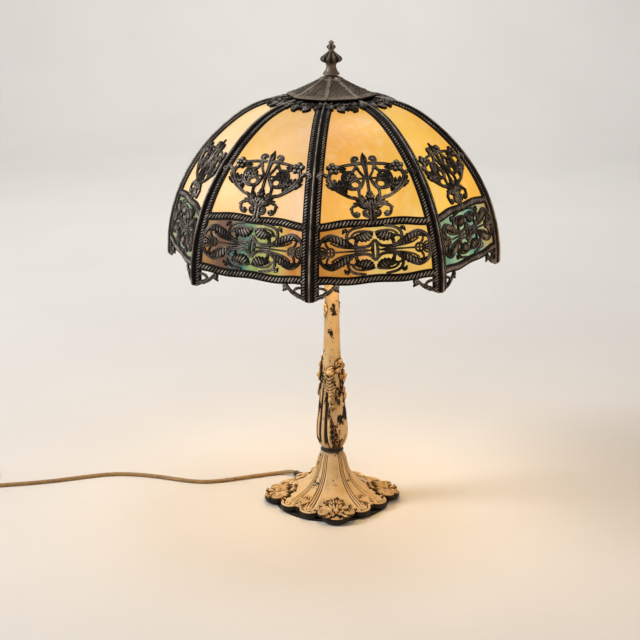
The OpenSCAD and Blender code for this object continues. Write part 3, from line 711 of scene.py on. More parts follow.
def crest_fringe(flat):
    """The fringe of leaves and curls that hangs from the crown, under a plain band."""
    flat.bar([(-32, 256), (0, 256), (32, 256)], [17], 1.7, mirrored=False, count=60, across=15,
             section=rail_section)
    flat.leaf([(0, 254), (0, 245), (0, 233)], 10, 4.4, lobes=3)
    flat.bar(curl((6.6, 236.5), 5.6, 1.3, 1.2, -1.9), [3.8, 3.4, 2.6], 4.4, count=34)
    flat.boss((6.6, 236.5), 2.3, 4.6)
    flat.leaf([(3, 252), (9, 248), (14, 241)], 8, 4.0, lobes=2)
    flat.bar(curl((18.8, 241.5), 5.0, 1.2, 1.2, -1.9), [3.4, 3.0, 2.4], 4.2, count=30)
    flat.boss((18.8, 241.5), 2.1, 4.2)
    flat.leaf([(14, 253), (21, 250), (28, 244)], 8, 3.8, lobes=3)


def rib_section(x):
    """A rib's section: a low bead at each edge, a sunk strip for the rope, and a sharp ridge."""
    y = np.abs(x)
    return (0.18 + 0.16 * bump(y, 0.95, 0.05) + 0.14 * bump(y, 0.40, 0.04)
            + 0.82 * np.clip(1 - y / 0.32, 0, 1) ** 0.85)


RIB_PITCH = 3.4 * MM                # from strand to strand of the rope strip
RIB_FOOT = -6.0 * MM                # where the rib ends, below the rim
RIB_WIDE, RIB_TAPER, RIB_RISE = 20.4, 1.4, 3.9


def make_rib(number, sweep, material):
    """One rib: the section carried up the corner line, with a rope strip on each flank, its foot
    rounded off, and a scroll bracket on either side of the foot."""
    pile = Pile()
    top = sweep.crest_s
    count = int((top - RIB_FOOT) / RIB_PITCH * STRAND_STEPS)
    t = np.linspace(0, 1, count)
    run = t * (top - RIB_FOOT)
    blunt = np.clip(1 - (1 - np.clip(run / (4 * MM), 0, 1)) ** 2, 0.25, 1) ** 0.5
    wide = (RIB_WIDE - RIB_TAPER * t) * MM * blunt

    def rope(run, x):
        q = (np.abs(x) - 0.67) / 0.23
        return np.clip(1 - q ** 2, 0, 1) ** 0.5 * strands(run, -q * np.sign(x), RIB_PITCH, 0.50)

    def shine(run, x):
        y = np.abs(x)
        return (1.25 * rope(run, x) + 0.55 * bump(y, 0.95, 0.05) + 0.5 * bump(y, 0.40, 0.04)
                + 1.2 * np.clip(1 - y / 0.30, 0, 1))
    flesh, relief = lay_bar([(0, RIB_FOOT), (0, (RIB_FOOT + top) / 2), (0, top)], wide,
                            RIB_RISE * MM * blunt, count, 43, rib_section,
                            lambda run, x: rope(run, x) * 1.7 * MM, shine)
    pile.grid(sweep.on_rib(number)(flesh), relief)
    corner = sweep.s.width / 2 * math.sin(HALF) / MM
    for side in (-1, 1):
        def at(*points):
            return [(side * (inward - corner), s) for inward, s in points]
        bracket = Flat(mirrored=False)
        bracket.bar(at((8, -1.5), (15, -0.5), (23, 3), (30, 9.5), (33, 13)), [5.0, 4.6, 4.2, 3.6, 3.0],
                    2.5, count=28)
        bracket.leaf(at((9, -2), (18, 1), (26, 7)), 6.0, 2.8)
        bracket.bar(at((9, 9), (14, 9.5), (19, 8), (22, 4.5)), [3.0, 3.0, 3.4, 2.6], 2.4)
        bracket.boss(at((32.5, 9.5))[0], 3.8, 2.6, hollow=0.4)
        bracket.leaf(at((27, 8), (33, 6), (36, 3)), 4.5, 2.2)
        bracket.onto(pile, sweep.on_panel(number if side > 0 else (number - 2) % PANELS + 1))
    return pile.make(f"cast_rib_{number}", material, "shade", [f"rib_{number}"])


CROWN_PEAK = 0.12                   # share of the crown's width where its face begins


def make_crown(sweep, material):
    """The eight-sided crown: along share q from peak to lip its height falls almost evenly, with a
    flat bar on every corner, a plain border along the lip, and a lined, pitted field in between."""
    low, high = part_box("crown_cap")
    width = (high[0] - low[0]) / 2 * math.cos(HALF) / math.cos(sweep.s.turn)
    height = high[2] - low[2]
    around, rings = 960, 92
    turn = circle(around)
    q = np.linspace(CROWN_PEAK, 1, rings)[:, None]
    within = (turn + HALF) % (2 * HALF) - HALF              # 0 on a corner
    side = width / np.cos(HALF - np.abs(within))
    along_side = q * width * np.tan(HALF - np.abs(within))   # from the middle of a field
    to_corner = q * width * math.tan(HALF) - np.abs(along_side)
    fall = 1 - (q - CROWN_PEAK) / 0.88
    fall = 0.07 + 0.88 * (0.84 * fall + 0.16 * fall ** 2)
    bar = 1.0 * MM * np.clip((2.6 * MM - to_corner) / (0.5 * MM), 0, 1)
    border = 0.5 * MM * np.clip((q - 0.88) / 0.02, 0, 1) + 0.8 * MM * bump(q, 0.24, 0.03)
    field = (q > 0.28) * (q < 0.86) * (to_corner > 3.2 * MM)
    lines = field * 0.22 * MM * np.cos(along_side / MM * 2.1)
    pits = (q > 0.28) * (q < 0.97) * 3.6 * MM * np.clip(
        np.sin(along_side / MM * 0.9 + 5 * np.sin(q * 31) + 2 * np.sin(turn * 7))
        * np.sin(q * 37 + 3 * np.sin(along_side / MM * 0.5) + turn * 5) - 0.50, 0, 1)
    proud = bar + border + lines - pits
    face = around_axis(side * q, turn, low[2] - 1.7 * MM + (height + 1.7 * MM) * fall + proud)
    lip = around_axis(side, turn, low[2] - 1.6 * MM)
    grid = turned(np.concatenate([face, lip, lip * [0.93, 0.93, 1]]), sweep.s.turn)
    relief = np.clip(0.62 + np.minimum(proud, 0.9 * MM) / (3.4 * MM) - pits / (1.6 * MM), 0, 1)
    relief = np.concatenate([relief, np.zeros((2, around))])
    return Pile().grid(grid, relief).make("cast_crown", material, "shade", ["crown_cap"])


def lathe(profile, count, around=64, wave=None):
    """A smooth profile of (radius, height) turned about the Z axis; wave(turn, t) scales the
    radius, where t runs from 0 to 1 along the profile."""
    line = spline(profile, count)
    turn = circle(around)
    t = np.linspace(0, 1, count)[:, None]
    r = line[:, :1] * (1 if wave is None else wave(turn, t))
    return around_axis(r, turn, line[:, 1:])


# The finial's radius in millimetres by share of its height
FINIAL = [(3.4, 0), (9.4, 0), (9.9, 0.025), (9.4, 0.05), (7.6, 0.11), (6.3, 0.18), (5.8, 0.24),
          (6.2, 0.30), (7.6, 0.345), (10.6, 0.37), (12.6, 0.42), (12.9, 0.47), (11.8, 0.52), (9.2, 0.565),
          (7.0, 0.61), (4.8, 0.655), (3.2, 0.695), (3.0, 0.725), (4.2, 0.75), (5.2, 0.79), (5.1, 0.83),
          (3.6, 0.865), (2.4, 0.885), (3.1, 0.91), (3.2, 0.94), (2.2, 0.97), (0.4, 1.0)]


def make_finial(material):
    """The finial: a foot, a waist, a lobed melon that tapers upwards, a bead and a tip."""
    low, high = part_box("finial")
    height = high[2] - low[2]
    points = [(r * MM, low[2] + height * z) for r, z in FINIAL]

    def lobes(turn, t):
        melon = np.clip(1 - ((t - 0.46) / 0.15) ** 2, 0, 1) ** 0.5
        beads = np.clip(1 - ((t - 0.77) / 0.06) ** 2, 0, 1) ** 0.5
        return 1 - 0.17 * melon * np.abs(np.cos(5 * turn)) ** 5 - 0.14 * beads * np.abs(np.cos(3 * turn)) ** 4
    count, around = 170, 120
    depth = lobes(circle(around), np.linspace(0, 1, count)[:, None])
    return Pile().grid(lathe(points, count, around, lobes), np.clip((depth - 0.85) / 0.15, 0, 1) * 0.75).make(
        "turned_finial", material, "finial", ["finial"])


# ---------------------------------------------------------------- base and stem

LOBES = 4
# (centre's distance in from the main lobes' reach, radius, turn from a main lobe) of each lobe, in
# millimetres and degrees
LOBE_CIRCLES = ((17, 17, 0), (25, 14, 30))
# How far from a main lobe the flutes run and their end curls lie
FLUTE_TURN, CURL_TURN = math.radians(31.5), math.radians(31)
EDGE_ROLL = 1.4 * MM                # radius of the rolled edge
# (distance from the axis, height) down the base's face, in millimetres
TRUMPET = [(12.6, 68), (14.6, 65), (17.0, 61), (18.9, 55), (20.6, 47), (24, 38.5), (29.5, 30.5),
           (37, 23.5), (47, 17.5), (58, 13), (70, 10), (90, 8.5)]


class Base:
    """The lobed base: where its edge runs, how high its face stands and how that face is carved"""

    def __init__(self, stem):
        self.stem = stem
        self.reach = stem.base_width / 2
        profile = spline(np.asarray(TRUMPET) * MM, 200)
        profile[:, 1] *= stem.base_height / profile[0, 1]
        self.profile = profile

    def fold(self, turn):
        """The angle to the nearest main lobe, from minus to plus half of a right angle."""
        return (turn - self.stem.base_turn + math.pi / LOBES) % (TURN / LOBES) - math.pi / LOBES

    def edge(self, turn):
        """Distance of the edge from the axis: the farthest of a disc, the main lobe and the minor
        lobe, each lobe a circle of radius a about a centre at distance c and angle d, which a ray
        leaves at c cos d + (a^2 - c^2 sin^2 d)^0.5."""
        fold = np.abs(self.fold(turn))
        best = np.full_like(fold, self.reach - 20 * MM)
        for inward, radius, at in LOBE_CIRCLES:
            centre, away = self.reach - inward * MM, fold - math.radians(at)
            under = (radius * MM) ** 2 - (centre * np.sin(away)) ** 2
            hit = centre * np.cos(away) + np.sqrt(np.clip(under, 0, None))
            best = np.where(under > 0, np.maximum(best, hit), best)
        return best

    def height(self, r):
        return np.interp(r, self.profile[:, 0], self.profile[:, 1])

    def carving(self, r, turn):
        """How far the face stands proud: three grooves that fan out to each minor lobe, a bead and
        a groove along the edge, and a sunk, stippled ground between the lobes."""
        fold = np.abs(self.fold(turn))
        across = r * np.sin(fold - FLUTE_TURN)
        pitch = 1.25 * MM + 0.046 * r
        fade = (np.clip((self.edge(turn) - 11 * MM - r) / (5 * MM), 0, 1)
                * np.clip((r - 13 * MM) / (2 * MM), 0, 1))
        grooves = sum(bump(across, k * pitch, 0.26 * pitch) for k in (-1, 0, 1))
        swell = np.clip(1 - (across / (2.1 * pitch)) ** 2, 0, 1)
        rim = self.edge(turn) - r
        bead = 1.5 * MM * bump(rim, 2.2 * MM, 1.5 * MM) - 1.1 * MM * bump(rim, 5.2 * MM, 0.8 * MM)
        ground = np.clip((r - 42 * MM) / (6 * MM), 0, 1) * np.clip((fold - math.radians(36.5)) / 0.03, 0, 1)
        ground = ground * np.clip((rim - 6 * MM) / (2 * MM), 0, 1)
        stipple = np.sin(r / MM * 2.3) * np.sin(turn * 92 + r / MM * 0.7)
        return (fade * (0.9 * MM * swell - 1.9 * MM * grooves) + bead
                + ground * (0.45 * stipple - 0.6) * MM)

    def on_lobe(self, number, offset=0.0):
        """The map of flat (u, s, h) points onto the face: s is the distance from the axis along the
        middle of a lobe, u the distance to its side, h the height above the face."""
        turn = self.stem.base_turn + number * TURN / LOBES + offset

        def wrap(flat):
            x, y = flat[..., 0], -flat[..., 1]
            z = self.height(np.hypot(x, y)) + flat[..., 2]
            return turned(np.stack([x, y, z], -1), turn)
        return wrap


def lobe_flower(flat):
    """The blossom between two volutes that fills a main lobe, with a small crown behind it."""
    for lean in (-1, -0.5, 0, 0.5, 1):
        flat.leaf([(4 * lean, 55), (7 * lean, 49), (11 * lean, 43 + 3 * abs(lean))], 5.2, 2.2,
                  mirrored=False, lobes=1)
    flat.leaf([(5, 68), (14, 62), (20, 53.5)], 9.5, 4.2, lobes=2)
    flat.leaf([(3, 67), (9, 59), (11.5, 50)], 9, 5.0, lobes=1)
    flat.leaf([(0, 70), (0, 60), (0, 50)], 9, 6.4, lobes=1)
    flat.leaf([(10, 68), (19, 66), (27, 60)], 6, 3.4, lobes=1)
    flat.bar(curl((15, 71), 8.6, 2.6, 1.3, math.pi * 0.95), [4.6, 4.2, 3.4, 2.8], 4.8, count=40)
    flat.boss((15, 71), 3.0, 4.8)
    flat.leaf([(0, 68), (4.6, 76), (8, 84)], 7.6, 4.6, lobes=2)
    flat.leaf([(6, 77), (12, 81), (18, 80.5)], 5.6, 3.8, lobes=1)
    flat.boss((0, 69), 4.2, 6.2)


def lobe_fan(flat):
    """The leaf fan on the stippled ground between two lobes."""
    for lean in (0.0, 0.55, 1.0):
        flat.leaf([(0.6 * lean, 62), (4.2 * lean, 55), (9.5 * lean, 48 + 4 * lean)], 5.2, 2.6,
                  mirrored=lean > 0)
    flat.boss((0, 61.5), 2.6, 3.0)


def minor_curl(flat):
    """The curl that ends the flutes on a minor lobe."""
    flat.bar(curl((0, 66), 4.6, 1.2, 1.25, 0.4), [2.2, 1.8], 1.9, count=30)
    flat.boss((0, 66), 1.7, 2.0)


def make_base(stem, material):
    """The base casting: its face from neck to edge, the rolled edge, and a flat underside."""
    base = Base(stem)
    around = 528
    turn = circle(around)
    t = np.linspace(0, 1, 90)[:, None] ** 0.85
    edge = base.edge(turn)
    neck = TRUMPET[0][0] * MM
    r = neck + (edge - EDGE_ROLL - neck) * t
    carve = base.carving(r, turn)
    z = base.height(r) + carve
    relief = np.clip(0.66 + carve / (1.35 * MM), 0, 1)
    roll = np.linspace(0.25, 1, 6)[:, None] * math.pi / 2
    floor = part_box("base_casting")[0][2]
    lip = z[-1:] - 0.4 * MM
    side_r = edge - EDGE_ROLL + EDGE_ROLL * np.sin(roll)
    side_z = floor + 3.5 * MM + (lip - floor - 3.5 * MM) * np.cos(roll) ** 0.8
    under_r = np.concatenate([edge - 1.0 * MM, edge - 5.0 * MM])
    under_z = np.full((2, around), floor + 0.1 * MM)
    r, z = np.concatenate([r, side_r, under_r]), np.concatenate([z, side_z, under_z])
    # Relief down the rolled edge and onto the underside, 0.6 falling to 0: the paint turns black as the edge
    # rolls under, partly bare metal at the bottom edge, partly painted shade under the roll.
    shade = np.array([0.6, 0.3, 0.1, 0, 0, 0, 0, 0])[:, None] + 0 * turn
    pile = Pile().grid(around_axis(r, turn, z), np.concatenate([relief, shade]))
    flower, fan, end = Flat(), Flat(), Flat(mirrored=False)
    lobe_flower(flower)
    lobe_fan(fan)
    minor_curl(end)
    for number in range(LOBES):
        flower.onto(pile, base.on_lobe(number), depth=2.4)
        fan.onto(pile, base.on_lobe(number, math.pi / LOBES))
        for side in (-1, 1):
            end.onto(pile, base.on_lobe(number, side * CURL_TURN))
    return pile.make("cast_base", material, "lamp", ["base_casting"])


# (radius, height) up the stem, in millimetres
STEM = [(13.4, 74), (14.9, 75.5), (16.6, 78.5), (18.7, 84), (19.7, 93), (19.3, 103), (18.0, 116),
        (16.4, 131), (14.7, 147), (13.2, 162), (12.0, 177), (10.9, 195), (10.1, 215), (9.4, 240),
        (9.0, 262), (9.2, 300), (9.6, 329)]
MOTIF_TURNS = (math.radians(27), math.radians(207))


class Stem:
    """The cast stem: its radius by height, and the map of flat shapes onto it"""

    def __init__(self):
        self.profile = spline(np.asarray(STEM) * MM, 300)

    def radius(self, z):
        return np.interp(z, self.profile[:, 1], self.profile[:, 0])

    def carving(self, turn, z):
        """Upright flutes between two smooth, beaded cartouches with a stippled foot."""
        fold = (turn - MOTIF_TURNS[0] + math.pi / 2) % math.pi - math.pi / 2
        z = z / MM
        wide = math.radians(38) * np.clip(1 - ((z - 108) / 46) ** 2, 0, 1) ** 0.42
        away = np.abs(fold) - wide
        frame = 1.3 * bump(away, 0, 0.07) * (wide > 0.1) - 0.8 * bump(away, 0.16, 0.06) * (wide > 0.1)
        inside = np.clip(-away / 0.06, 0, 1)
        stipple = inside * np.clip((81 + 52 * np.abs(fold - 0.25) - z) / 6, 0, 1)
        fade = np.clip((z - 79) / 5, 0, 1) * np.clip((184 - z) / 14, 0, 1)
        flutes = np.abs(np.cos((np.abs(fold) - math.pi / 2) * 7.0)) ** 1.5
        outside = np.clip((away - 0.16) / 0.08, 0, 1) * fade
        grain = np.sin(turn * 31 + 3 * np.sin(z * 0.9)) * np.sin(z * 1.7 + 3 * np.sin(turn * 9))
        return (frame + stipple * (grain - 0.85) + outside * (1.5 * flutes - 1.3)) * MM

    def on_stem(self, turn):
        """The map of flat (u, s, h) points: s is the height, u the distance round the stem."""
        def wrap(flat):
            r = self.radius(flat[..., 1])
            return around_axis(r + flat[..., 2], turn + flat[..., 0] / r, flat[..., 1])
        return wrap


def stem_motif(flat):
    """The shell with nested lips, the leaves and bosses round it, and the blossom and curl under it."""
    for k in range(5):
        flat.bar([(-17 + 0.6 * k, 155.5 + 4.2 * k), (-9.5, 149.5 + 4.2 * k), (-1 - 0.5 * k, 155 + 4.0 * k)],
                 [1.6, 3.0, 1.6], 2.4 + 0.5 * k, count=22)
    flat.leaf([(-14, 171), (-9, 178), (-1, 181)], 7.4, 4.6, lobes=2)
    flat.leaf([(-2, 182), (4, 188), (10, 185)], 8.0, 5.0, lobes=2)
    flat.leaf([(3, 180), (10, 182), (15, 175)], 8.0, 5.4, lobes=2)
    flat.leaf([(-6, 170), (1, 177), (9, 175)], 8.0, 5.0, lobes=2)
    flat.boss((-8.5, 174.5), 4.4, 5.4)
    flat.boss((12.5, 167.5), 3.6, 6.0, hollow=0.95)
    flat.leaf([(9, 177), (13, 167), (9, 156)], 7.5, 5.2, lobes=2)
    flat.leaf([(3, 172), (7, 163), (4, 153)], 6.5, 4.6, lobes=2)
    flat.leaf([(-5, 149), (-9.5, 141), (-7, 132)], 6.4, 4.0, lobes=2)
    flat.leaf([(2, 151), (-1, 141), (2, 131)], 7, 4.8, lobes=2)
    flat.leaf([(8, 156), (11, 145), (8, 134)], 7, 4.4, lobes=2)
    flat.boss((1.5, 149), 4.6, 5.4, petals=5, depth=0.25, hollow=0.6, around=36)
    flat.bar(curl((-5, 129), 3.8, 1.2, 1.2, 1.2), [2.8, 2.2], 3.4, count=30)


def stem_sprig(flat):
    """The small leaf high on the stem."""
    flat.leaf([(0, 262), (1.5, 254), (0, 243)], 7, 3.2, lobes=3)
    flat.boss((0, 259), 2.4, 3.2)


def make_stem(material):
    """The stem casting with its two motifs."""
    stem = Stem()
    count, around = 300, 272
    z = np.linspace(STEM[0][1], STEM[-1][1], count)[:, None] * MM
    turn = circle(around)
    carve = stem.carving(turn, z)
    pile = Pile().grid(around_axis(stem.radius(z) + carve, turn, z), np.clip(0.66 + carve / (1.5 * MM), 0, 1))
    motif, sprig = Flat(mirrored=False), Flat(mirrored=False)
    stem_motif(motif)
    stem_sprig(sprig)
    for at in MOTIF_TURNS:
        motif.onto(pile, stem.on_stem(at), depth=1.7)
        sprig.onto(pile, stem.on_stem(at - math.radians(85)))
    return pile.make("cast_stem", material, "lamp", ["stem_casting"])


def make_collar(material):
    """The collar: two rolled rings with a groove between."""
    low, high = (corner[2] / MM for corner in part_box("neck_collar"))
    rings = [(6, 0), (12.2, 0), (14.2, 0.6), (14.4, 1.5), (12.6, 2.4), (11.2, 3.1), (11.6, 3.9),
             (13.2, 4.5), (13.3, 5.4)]
    profile = [(r, low + up) for r, up in rings] + [(12.0, high), (6, high)]
    grid = lathe(np.asarray(profile) * MM, 60, 72)
    return Pile().grid(grid, 0.6).make("turned_collar", material, "lamp", ["neck_collar"])


# ---------------------------------------------------------------- sockets and bulbs

SOCKET_TILT = math.radians(45)
CLUSTER_Z = 342 * MM
KEY_AT = 52                         # a key's distance from the cluster, in millimetres
GLOW_REACH = 0.06                   # how far from the cluster's middle, and above it, a light is
THREAD_PITCH = 3.63 * MM            # of the medium screw cap
# (radius, distance from the cluster) along a bulb, in millimetres
BULB = [(0.5, 44), (8.6, 44.2), (11.2, 45.4), (12.6, 47), (12.6, 66), (12.9, 68), (14.0, 72), (16.0, 80),
        (20.5, 91), (25.6, 102), (29.0, 111), (30.0, 119), (29.2, 127), (26.0, 135), (20.0, 141.6),
        (11.5, 146), (4, 147.8), (0.5, 148)]


def on_socket(points, number):
    """Points whose Z axis is a socket's, tilted outwards from the cluster."""
    lean = SOCKET_TILT if number == 1 else -SOCKET_TILT
    c, s = math.cos(lean), math.sin(lean)
    x, y, z = points[..., 0], points[..., 1], points[..., 2]
    return np.stack([x * c + z * s, y, -x * s + z * c + CLUSTER_Z], -1)


def make_bulb(number, glass):
    """A pear bulb on a threaded cap: the thread lifts the radius by a share of cos(helix)."""
    line = spline(np.asarray(BULB) * MM, 170)
    turn = np.linspace(0, TURN, 64, endpoint=False)[None]
    d = line[:, 1:]
    thread = 0.5 * MM * np.cos(TURN * d / THREAD_PITCH + turn) * np.clip((65 * MM - d) / MM, 0, 1) * np.clip(
        (d - 47 * MM) / MM, 0, 1)
    grid = around_axis(line[:, :1] + thread, turn, d)
    metal = np.clip((66.5 * MM - d) / (0.5 * MM), 0, 1)
    return Pile().grid(on_socket(grid, number), metal + 0 * turn).make(
        f"frosted_bulb_{number}", glass, f"bulb_{number}", [f"bulb_{number}"])


def loft(rows, around=28):
    """Superellipse rings along Z: each row is (height, half width, half depth, power)."""
    z, a, b, power = (np.asarray(column, float)[:, None] for column in zip(*rows))
    turn = circle(around)
    x = np.sign(np.cos(turn)) * np.abs(np.cos(turn)) ** (2 / power) * a
    y = np.sign(np.sin(turn)) * np.abs(np.sin(turn)) ** (2 / power) * b
    return np.stack([x, y, z + 0 * turn], -1) * MM


def laid_loft(rows, way, x, y, z):
    """A loft laid along Y, forwards where way is -1, with its start moved by x, y, z millimetres."""
    grid = loft(rows)
    return np.stack([grid[..., 0] + x * MM, way * grid[..., 2] + y * MM, grid[..., 1] + z * MM], -1)


def make_key(number, material):
    """A socket's turn key: a round shaft that spreads into a flat paddle with a rolled edge."""
    rows = [(16.0, 2, 2, 2), (24.2, 2, 2, 2), (25.1, 2.6, 1.7, 2.4), (26.3, 4.6, 1.25, 3),
            (28, 5.4, 1.15, 3.4), (30.5, 5.5, 1.0, 3.4), (32.4, 5.2, 1.15, 3.2), (33.6, 4.2, 1.1, 2.8),
            (34.1, 2.4, 0.7, 2.4)]
    return Pile().grid(on_socket(laid_loft(rows, -1, 0, 0, KEY_AT), number), 0.5).make(
        f"turn_key_{number}", material, f"key_{number}", [f"socket_key_{number}"])


# ---------------------------------------------------------------- cord

# The cord's way from the base to the coil, and from the coil to the plug, in millimetres
LEAD = [(-48.1, 71.3, 6.5), (-52, 76.5, 6), (-59, 80.5, 4.6), (-68, 81.5, 3.1), (-80, 79, 2.5),
        (-94, 74, 2.5), (-111, 68, 2.5), (-129, 61, 2.5), (-147, 55, 2.5), (-165, 52, 2.5),
        (-184, 54, 2.5), (-203, 60, 2.5), (-222, 67, 2.5), (-241, 73, 2.5), (-260, 77, 2.5),
        (-281, 79, 2.5), (-305, 76, 2.5), (-333, 67, 2.5), (-362, 57, 2.5), (-392, 49, 2.5),
        (-422, 43, 2.5), (-450, 38, 2.5), (-478, 36.5, 2.5)]
TAIL = [(-518.5, 68, 7.5), (-519, 76, 7.5), (-520.5, 86, 7.7), (-522, 93, 8), (-522, 98, 8)]
# Each turn of the coil: how many turns, the strand's distance from the middle and its height, in
# cord diameters
COIL = [(1, 1, 0.5), (1, 0, 0.5), (1, -1, 0.5), (1, -1, 1.5), (1, 0, 1.5), (1.25, -0.5, 2.5), (1, 1, 1.5)]


def coil_route(cord):
    """The coil's strand: it runs round clockwise from where the lead meets it, and shifts from
    one place in the section to the next over the last quarter of each turn."""
    ends = np.cumsum([turns for turns, _, _ in COIL])
    t = np.linspace(0, ends[-1], int(ends[-1] * 40) + 1)
    out, up = np.full_like(t, COIL[0][1]), np.full_like(t, COIL[0][2])
    for end, before, after in zip(ends[:-1], COIL[:-1], COIL[1:]):
        share = np.clip((t - end + 0.15) / 0.30, 0, 1)
        share = share * share * (3 - 2 * share)
        out += share * (after[1] - before[1])
        up += share * (after[2] - before[2])
    r = cord.coil_radius + out * cord.diameter
    turn = -math.pi / 2 - TURN * t
    return np.stack([cord.coil_x + r * np.cos(turn), cord.coil_y + r * np.sin(turn), up * cord.diameter], 1)


def sweep_tube(path, radius, around=12):
    """A round tube along a path, its ring carried level: one axis lies flat, square to the path."""
    step = np.gradient(path, axis=0)
    step /= np.linalg.norm(step, axis=1, keepdims=True)
    across = np.stack([-step[:, 1], step[:, 0], np.zeros(len(path))], 1)
    across /= np.linalg.norm(across, axis=1, keepdims=True)
    up = np.cross(step, across)
    turn = circle(around)[..., None]
    return path[:, None] + radius * (np.cos(turn) * across[:, None] + np.sin(turn) * up[:, None])


def make_bushing(material):
    """The strain relief: a flange in the base's edge and a ribbed taper round the cord."""
    ribs = [(3.2 + k * 1.8 + d, r - 0.09 * k)
            for k in range(5) for d, r in ((0, 4.5), (0.9, 4.4), (1.0, 3.7), (1.7, 3.7))]
    profile = [(-12, 2.6), (-12, 3.9), (-1, 3.9), (-1, 5.2), (1, 5.2), (1.3, 4.6), *ribs, (12, 2.6)]
    grid = laid_loft([(z, r, r, 2) for z, r in profile], -1, 0, -74, 6.5)
    return Pile().grid(turned(grid, math.radians(-146)), 0.5).make(
        "strain_relief", material, "lamp", ["cord_bushing"])


BLADE_ASIDE = 6.35                  # from the plug's middle to a blade, in millimetres


def make_plug(finish):
    """The plug: a moulded body with grip grooves behind it, and two flat brass blades."""
    s = Shader("plug", Coat_Weight=0.2, Coat_Roughness=0.25)
    metal, cloud = s.relief().step(0.9, 0.95), s.noise(120.0, 3.0)
    tone = tuple(finish.cord)
    body = s.mix(cloud.step(0.3, 0.8) * 0.4, tone, dimmed(tone, 0.6))
    s.set(Base_Color=s.mix(metal, body, (0.62, 0.46, 0.20)), Metallic=metal, Roughness=0.42 - metal * 0.12,
          Normal=s.bump(cloud, 0.0002, 0.3))
    rows = [(0, 3.4, 3.4, 2), (2, 4.4, 4.2, 2), (3, 3.8, 3.7, 2), (4.4, 4.9, 4.6, 2.1),
            (5.4, 4.3, 4.1, 2.1), (6.8, 5.6, 5.1, 2.2), (7.8, 5.0, 4.6, 2.2), (9.4, 6.8, 5.7, 2.5),
            (13, 9.2, 7.0, 3), (17, 10.3, 7.8, 3.4), (23.5, 10.4, 7.9, 3.6), (25.4, 9.8, 7.3, 3.6),
            (26, 8.8, 6.4, 3.6)]
    blade = [(25.6, 0.75, 3.15, 12), (41.6, 0.75, 3.15, 12), (42.6, 0.55, 2.7, 8), (43, 0.3, 2.0, 6)]
    pile = Pile()
    x, y, z = TAIL[-1]
    for part, aside, relief in ((rows, 0, 0.4), (blade, -BLADE_ASIDE, 1.0), (blade, BLADE_ASIDE, 1.0)):
        pile.grid(laid_loft(part, 1, aside + x, y, z), relief)
    return pile.make("moulded_plug", s.material, "lamp", ["plug"])


def cord_finish(finish):
    """Translucent gold plastic over two stranded wires, with a faint lengthwise sheen."""
    s = Shader("gold_cord", Coat_Weight=0.4, Coat_Roughness=0.25)
    cloud = s.noise(140.0, 3.0)
    tone = tuple(finish.cord)
    return s.set(Base_Color=s.mix(cloud.step(0.35, 0.7), tone, dimmed(tone, 0.55)),
                 Roughness=0.38 + cloud * 0.15, Normal=s.bump(cloud, 0.0002, 0.3))


# ---------------------------------------------------------------- operators

class LampStage(bpy.types.Operator):
    """Set the camera, the floor and the studio lights"""
    bl_idname = "lamp.stage"
    bl_label = "Stage and Camera"

    def execute(self, context):
        view = context.scene.lamp_view
        camera = placed("camera", bpy.data.cameras.new("camera"))
        camera.data.lens, camera.data.sensor_width = view.lens, 36
        camera.matrix_world = (Matrix.Translation((0, -view.distance, view.height))
                               @ Matrix.Rotation(view.yaw, 4, "Z")
                               @ Matrix.Rotation(math.pi / 2 - view.pitch, 4, "X")
                               @ Matrix.Rotation(view.roll, 4, "Z"))
        context.scene.camera = camera
        context.scene.view_settings.view_transform = "Standard"
        floor = Shader("pale_floor", Roughness=0.7)
        cloth = floor.noise(3.0, 2.0)
        tone = floor.mix(cloth.step(0.3, 0.8), (0.74, 0.72, 0.69), (0.70, 0.68, 0.65))
        mesh = bpy.data.meshes.new("floor")
        reach, back, rise, round_r = 6.0, 2.4, 4.0, 0.9
        bend = np.linspace(0, math.pi / 2, 13)
        line = np.concatenate([[(-reach, 0)], np.stack([back + round_r * np.sin(bend),
                                                         round_r * (1 - np.cos(bend))], 1),
                               [(back + round_r, rise)]])
        points = np.concatenate([np.stack([np.full(len(line), x), line[:, 0], line[:, 1]], 1)
                                 for x in (-reach, reach)])
        n = len(line)
        mesh.from_pydata(points.tolist(), [], [(i, i + 1, n + i + 1, n + i) for i in range(n - 1)])
        mesh.polygons.foreach_set("use_smooth", [True] * (n - 1))
        mesh.materials.append(floor.set(Base_Color=tone))
        placed("floor", mesh)
        world = bpy.data.worlds.new("studio")
        world.use_nodes = True
        sky = world.node_tree.nodes["Background"].inputs
        sky["Color"].default_value, sky["Strength"].default_value = (0.90, 0.90, 0.92, 1), 0.26
        context.scene.world = world
        for name, place, aim, size, power, tint in (
                ("key", (-2.3, -0.35, 1.7), (0, 0, 0.3), 0.9, 55, (1.0, 0.98, 0.96)),
                ("fill", (2.1, -1.5, 1.0), (0, 0, 0.3), 1.4, 3, (1.0, 0.88, 0.74)),
                ("low", (1.2, -0.6, 0.35), (0, 0, 0.17), 0.5, 4.5, (1.0, 0.60, 0.25)),
                ("top", (0.3, 0.4, 2.7), (0, 0, 0.5), 1.0, 16, (1.0, 0.96, 0.90)),
                ("backdrop", (0, 1.3, 2.4), (0, 3.2, 1.3), 1.6, 40, (1.0, 1.0, 1.0))):
            light = bpy.data.lights.new(name, "AREA")
            light.size, light.energy, light.color = size, power, tint
            lamp = placed(name, light)
            lamp.location = place
            lamp.rotation_euler = (Vector(aim) - Vector(place)).to_track_quat("-Z", "Y").to_euler()
        return {"FINISHED"}


